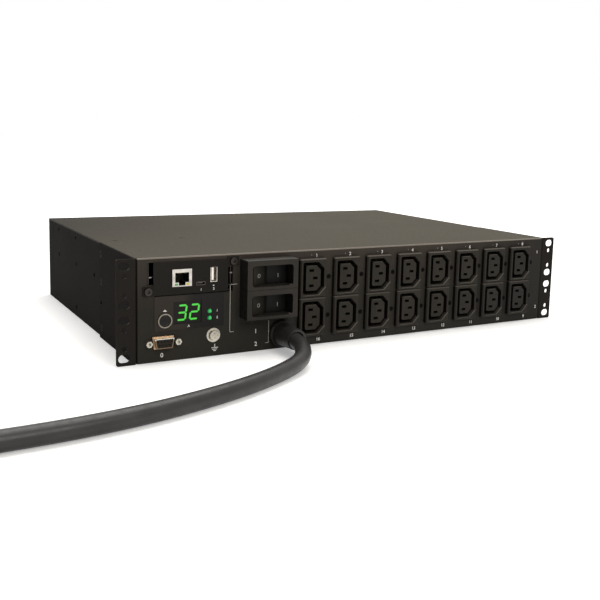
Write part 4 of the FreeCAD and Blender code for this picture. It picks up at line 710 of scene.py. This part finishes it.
def rub_outlets():
    """A painted highlight line under each opening and along the upper edge of each core, and the dark light
    lenses.
    """
    lips, cores, lenses = [], [], []
    for low, high in OUTLET_BOXES.values():
        x, z = (low.x + high.x) / 2 / MM, (low.z + high.z) / 2 / MM
        right, bottom = x + SOCKET_WIDTH / 2 + 1.2, z - SOCKET_HEIGHT / 2 - 1.0
        start = (x - SOCKET_WIDTH / 2 + 2.0, bottom)
        corner = (right - SOCKET_CUT - 0.6, bottom)
        end = (right + 0.4, bottom + SOCKET_CUT + 1.0)
        lips += strips([(*start, *corner)], LIP_WIDTH) + strips([(*corner, *end)], CORNER_WIDTH)
        top = z + CORE_HEIGHT / 2 - 0.3
        edge = (x - CORE_WIDTH / 2 + 1.8, top, x + CORE_WIDTH / 2 - CORE_CUT, top)
        cores += strips([edge], CORE_EDGE_WIDTH)
        lenses.append(millimetres([
            (x + INDICATOR_OFFSET + INDICATOR_RADIUS * math.cos(step * math.tau / CIRCLE_STEPS),
             z + INDICATOR_RADIUS * math.sin(step * math.tau / CIRCLE_STEPS)) for step in range(CIRCLE_STEPS)
        ]))
    face = OUTLET_BOXES[1][0].y
    # Painted highlights: a light line under each opening, and a dimmer one along each core's upper edge.
    lip_highlight = moulded("lip_highlight_plastic", (0.105, 0.097, 0.082), 0.4, 0.2)
    core_highlight = moulded("core_highlight_plastic", (0.050, 0.046, 0.037), 0.4, 0.2)
    lens = moulded("indicator_lens", (0.0030, 0.0030, 0.0028), 0.6, 0.03)
    film_piece("indicator_lenses", lenses, FRONT, lens, 0.01 * MM, 0.05 * MM)
    film_piece("outlet_lips", lips, face, lip_highlight, 0.01 * MM, 0.04 * MM)
    film_piece("core_edges", cores, face + CORE_RECESS * MM, core_highlight, 0.01 * MM, 0.04 * MM)


rub_outlets()

# Prints on the panel

NUMBER_SHIFT, NUMBER_HEIGHT = 5.0, 3.0
TOP_NUMBER_Z, BOTTOM_NUMBER_Z = 82.7, 4.6
BOTTOM_SHIFT, BOTTOM_STEP = 3.6, 0.5


def print_numbers():
    """Outlet numbers with a small tick beside the upper ones."""
    ticks = []
    for number, (low, high) in OUTLET_BOXES.items():
        middle = (low.x + high.x) / 2 / MM + NUMBER_SHIFT
        height = TOP_NUMBER_Z
        if number > 8:
            middle += BOTTOM_SHIFT + BOTTOM_STEP * (16 - number)
            height = BOTTOM_NUMBER_Z
        printed(f"outlet_number_{number:02d}", str(number), middle, height, NUMBER_HEIGHT)
        if number <= 8:
            ticks.append(millimetres([
                (middle - 5.6, height + 0.9), (middle - 4.9, height + 0.9), (middle - 5.25, height + 0.1),
            ]))
    film_piece("outlet_ticks", ticks, FRONT, PALE_INK)


PANEL_LINES = [
    (-133.6, 61.6, -139.9, 61.6),
    (-139.9, 61.6, -139.9, 19.8),
    (-139.9, 19.8, -136.4, 19.8),
    (-102.5, 26.7, -102.5, 6.6),
    (-102.5, 6.6, -105.2, 6.6),
]
EARTH_LINES = [
    (-153.8, 10.3, -153.8, 7.4),
    (-156.6, 7.4, -151.0, 7.4),
    (-155.7, 6.0, -151.9, 6.0),
    (-154.7, 4.7, -152.9, 4.7),
]
BUTTON_ARROW = [(-200.2, 42.6), (-196.8, 42.6), (-198.5, 44.3)]
PORT_ARROW = [(-156.6, 62.6), (-154.8, 62.6), (-155.7, 61.4)]
PANEL_FIGURES = [
    ("breaker_number_1", "1", -115.1, 18.0, 3.7, FRONT),
    ("breaker_number_2", "2", -114.9, 6.4, 3.7, FRONT),
    ("bank_number_1", "1", 215.5, 73.2, 3.0, FRONT),
    ("bank_number_2", "2", 217.5, 13.6, 3.0, FRONT),
    ("console_number", "1", -167.0, 59.3, 2.0, CARD_FACE),
    ("port_number", "2", -155.6, 59.3, 2.0, CARD_FACE),
    ("status_number_1", "1", -152.0, 39.9, 2.0, LABEL_FACE),
    ("status_number_2", "2", -152.0, 34.0, 2.0, LABEL_FACE),
    ("display_unit", "A", -177.6, 28.7, 2.0, LABEL_FACE),
]


def print_panel():
    """Bracket lines, the earth symbol, arrows, and the numbers of breakers, banks, ports and lights."""
    film_piece("panel_lines", strips(PANEL_LINES, 0.45), FRONT, PALE_INK)
    film_piece("earth_symbol", strips(EARTH_LINES, 0.6), FRONT, WHITE_INK)
    for name, text, x, z, height, y in PANEL_FIGURES:
        printed(name, text, x, z, height, y=y)
    film_piece("button_arrow", [millimetres(BUTTON_ARROW)], LABEL_FACE, WHITE_INK)
    film_piece("port_arrow", [millimetres(PORT_ARROW)], CARD_FACE, WHITE_INK)
    printed("port_group_number", "0", -201.0, 5.6, 3.6)


print_numbers()
print_panel()

# Lit digits

DIGIT_GREEN = glowing("digit_green", (0.055, 0.53, 0.045), 0.88)
DIGIT_SEGMENTS = {
    "2": ("top", "top_right", "middle", "bottom_left", "bottom"),
    "3": ("top", "top_right", "middle", "bottom_right", "bottom"),
}
DIGIT_HEIGHT, DIGIT_WIDTH, DIGIT_STROKE, DIGIT_SLANT = 12.2, 6.9, 1.55, 0.13


def digit_outlines(digit, x, z):
    """The lit segments of one leaning seven-segment digit, from its lower left corner, in millimetres."""
    half, gap, stroke = DIGIT_HEIGHT / 2, 0.18, DIGIT_STROKE / 2
    corners = {
        "top": ((0, 2 * half), (DIGIT_WIDTH, 2 * half)),
        "middle": ((0, half), (DIGIT_WIDTH, half)),
        "bottom": ((0, 0), (DIGIT_WIDTH, 0)),
        "top_right": ((DIGIT_WIDTH, half), (DIGIT_WIDTH, 2 * half)),
        "bottom_right": ((DIGIT_WIDTH, 0), (DIGIT_WIDTH, half)),
        "bottom_left": ((0, 0), (0, half)),
    }
    outlines = []
    for segment in DIGIT_SEGMENTS[digit]:
        start, end = (Vector(point) for point in corners[segment])
        along = (end - start).normalized()
        across = Vector((-along.y, along.x)) * stroke
        start, end = start + along * gap, end - along * gap
        shape = [start, start + along * stroke - across, end - along * stroke - across, end,
                 end - along * stroke + across, start + along * stroke + across]
        outlines.append([((x + point.x + point.y * DIGIT_SLANT) * MM, (z + point.y) * MM) for point in shape])
    return outlines


def make_digits():
    """The two lit digits, just proud of the display's lens."""
    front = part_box("digit_display")[0].y
    outlines = digit_outlines("3", -187.6, 34.4) + digit_outlines("2", -176.6, 34.4)
    film_piece("lit_digits", outlines, front, DIGIT_GREEN, 0.02 * MM, 0.08 * MM)


make_digits()

# Small bright parts of the front: the status lights' tips and the card's spring tabs

TIP_GREEN = glowing("tip_green", (0.05, 0.52, 0.13), 0.55)


def make_small_parts():
    """Two pointed light tips and two spring tabs in the card's recesses."""
    low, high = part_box("status_lights")
    middle, half = (low.x + high.x) / 2 / MM, (high.x - low.x) / 2 / MM
    tips = []
    for z in (low.z / MM + half, high.z / MM - half):
        tips.append(millimetres([
            (middle, z + 2.3), (middle - 1.25, z + 0.2), (middle - 1.05, z - 0.9), (middle + 1.05, z - 0.9),
            (middle + 1.25, z + 0.2),
        ]))
    film_piece("status_tips", tips, low.y, TIP_GREEN, 0.02 * MM, 0.05 * MM)
    tab = plated("tab_steel", (0.30, 0.28, 0.25), 0.45)
    front = FRONT + 0.3 * MM
    for side, x in (("left", -210.7), ("right", -139.2)):
        rounded_plate(f"card_tab_{side}", x - 1.3, 71.3, x + 1.3, 72.4, front, 0.8, tab)


make_small_parts()

# Network jack: contact wires and its two lights

JACK_LOW, JACK_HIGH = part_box("ethernet_jack_shield")
JACK_WIRES, WIRE_PITCH = 8, 1.02
WIRE_LINE = [(0.0, 74.3), (5.5, 73.9), (10.5, 71.2)]


def make_jack_details():
    """The contact wires, each bent from two straight bars, and two corner lights."""
    centre = (JACK_LOW.x + JACK_HIGH.x) / 2 / MM
    mesh = bpy.data.meshes.new("jack_contacts")
    bm = bmesh.new()
    for wire in range(JACK_WIRES):
        x = centre + (wire - (JACK_WIRES - 1) / 2) * WIRE_PITCH
        for (y0, z0), (y1, z1) in zip(WIRE_LINE, WIRE_LINE[1:]):
            made = bmesh.ops.create_cube(bm, size=1.0)["verts"]
            length = math.hypot(y1 - y0, z1 - z0)
            bmesh.ops.scale(bm, vec=(0.4 * MM, length * MM, 0.3 * MM), verts=made)
            bmesh.ops.rotate(bm, matrix=Matrix.Rotation(math.atan2(z1 - z0, y1 - y0), 3, "X"), verts=made)
            bmesh.ops.translate(bm, vec=(x * MM, FRONT + (y0 + y1) / 2 * MM, (z0 + z1) / 2 * MM), verts=made)
    bm.to_mesh(mesh)
    bm.free()
    add_piece("jack_contacts", mesh, MATERIALS["contact_brass"])
    front = JACK_LOW.y - 0.12 * MM
    green = glowing("jack_green", (0.10, 0.42, 0.14), 0.18)
    yellow = glowing("jack_yellow", (0.62, 0.56, 0.05), 0.35)
    for side, color, light in ((-1, "green", green), (1, "yellow", yellow)):
        x = centre + side * 4.9
        rounded_plate(f"jack_light_{color}", x - 1.6, 63.9, x + 1.6, 66.1, front, 0.7, light)


make_jack_details()

# Rocker marks

ROCKER_TRAVEL = math.radians(26)
ROCKER_FACE = 1.9


def mark_rockers():
    """The open ring on the raised half of each rocker and the bar on the half that is pressed in."""
    for number in (1, 2):
        low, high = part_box(f"breaker_{number}_rocker")
        pivot = Vector((ROCKER_X, FRONT - 0.4 * MM, (low.z + high.z) / 2))
        for mark, turn, reach, drop in (("O", ROCKER_TRAVEL, -11.5, 1.2), ("I", 0.0, 11.2, 2.4)):
            along = Vector((math.cos(turn), math.sin(turn), 0)) * reach * MM
            rise = ROCKER_FACE * MM + PRINT_GAP + PRINT_DEPTH
            outward = Vector((math.sin(turn), -math.cos(turn), 0)) * rise
            printed(f"rocker_{number}_mark_{mark}", mark, 0, 0, 3.4, DIM_INK, body=f"breaker_{number}_rocker",
                    turn=turn, place=pivot + along + outward - Vector((0, 0, drop * MM)))


mark_rockers()

# Floor, lights and background

FLOOR_COLOR = (0.88, 0.88, 0.88)
FLOOR_REACH = 12
FLOOR_DROP = 0.0002
FLOOR_GLOW_NEAR, FLOOR_GLOW_FAR = (0.45, 0.30), (1.3, 1.0)


def background_ray(tree):
    """A value that is 1 for the rays that see the background: camera, glossy and transmission."""
    path = tree.nodes.new("ShaderNodeLightPath")
    seen = path.outputs["Is Camera Ray"]
    for other in ("Is Glossy Ray", "Is Transmission Ray"):
        both = tree.nodes.new("ShaderNodeMath")
        both.operation = "MAXIMUM"
        tree.links.new(seen, both.inputs[0])
        tree.links.new(path.outputs[other], both.inputs[1])
        seen = both.outputs[0]
    return seen


def make_floor():
    """A wide pale floor that keeps the unit's shadow and whose far parts meet the background."""
    mesh = bpy.data.meshes.new("floor")
    reach = FLOOR_REACH
    corners = [(-reach, -reach, 0), (reach, -reach, 0), (reach, reach, 0), (-reach, reach, 0)]
    mesh.from_pydata(corners, [], [(0, 1, 2, 3)])
    floor = bpy.data.objects.new("floor", mesh)
    bpy.context.scene.collection.objects.link(floor)
    floor.location.z = -FLOOR_DROP
    material = bpy.data.materials.new("floor")
    material.use_nodes = True
    tree = material.node_tree
    shader = next(node for node in tree.nodes if node.type == "BSDF_PRINCIPLED")
    shader.inputs["Base Color"].default_value = (*FLOOR_COLOR, 1)
    shader.inputs["Roughness"].default_value = 0.9
    shader.inputs["Specular IOR Level"].default_value = 0.0
    shader.inputs["Emission Color"].default_value = (1, 1, 1, 1)
    place = tree.nodes.new("ShaderNodeTexCoord")
    distance = tree.nodes.new("ShaderNodeVectorMath")
    distance.operation = "LENGTH"
    tree.links.new(place.outputs["Object"], distance.inputs[0])
    far = tree.nodes.new("ShaderNodeMapRange")
    far.interpolation_type = "SMOOTHSTEP"
    for end, (place_out, glow) in (("Min", FLOOR_GLOW_NEAR), ("Max", FLOOR_GLOW_FAR)):
        far.inputs[f"From {end}"].default_value = place_out
        far.inputs[f"To {end}"].default_value = glow
    tree.links.new(distance.outputs["Value"], far.inputs["Value"])
    lift = tree.nodes.new("ShaderNodeMath")
    lift.operation = "MULTIPLY"
    tree.links.new(far.outputs["Result"], lift.inputs[1])
    tree.links.new(background_ray(tree), lift.inputs[0])
    tree.links.new(lift.outputs[0], shader.inputs["Emission Strength"])
    floor.data.materials.append(material)


def make_world():
    """White where the background is seen, and a soft even fill for the rest."""
    world = bpy.data.worlds.new("studio")
    bpy.context.scene.world = world
    world.use_nodes = True
    tree = world.node_tree
    background = next(node for node in tree.nodes if node.type == "BACKGROUND")
    background.inputs["Color"].default_value = (1, 1, 1, 1)
    level = tree.nodes.new("ShaderNodeMapRange")
    level.inputs["To Min"].default_value = 0.35
    level.inputs["To Max"].default_value = 1.0
    tree.links.new(background_ray(tree), level.inputs["Value"])
    tree.links.new(level.outputs["Result"], background.inputs["Strength"])


def area_light(name, place, target, size, power, color=(1, 1, 1)):
    """A soft square lamp aimed at a point."""
    lamp = bpy.data.lights.new(name, "AREA")
    lamp.shape = "SQUARE"
    lamp.size = size
    lamp.energy = power
    lamp.color = color
    item = bpy.data.objects.new(name, lamp)
    bpy.context.scene.collection.objects.link(item)
    item.location = place
    item.rotation_euler = (Vector(target) - Vector(place)).to_track_quat("-Z", "Y").to_euler()
    return item


make_floor()
make_world()
area_light("overhead", (0.2, 0.3, 1.9), (0, 0, 0), 1.8, 42, (1.0, 0.97, 0.93))
area_light("front", (0.0, -1.9, 1.2), (-0.05, -0.15, 0.05), 0.9, 16, (1.0, 0.95, 0.88))

bpy.context.scene.view_settings.view_transform = "Standard"

bpy.context.view_layer.update()
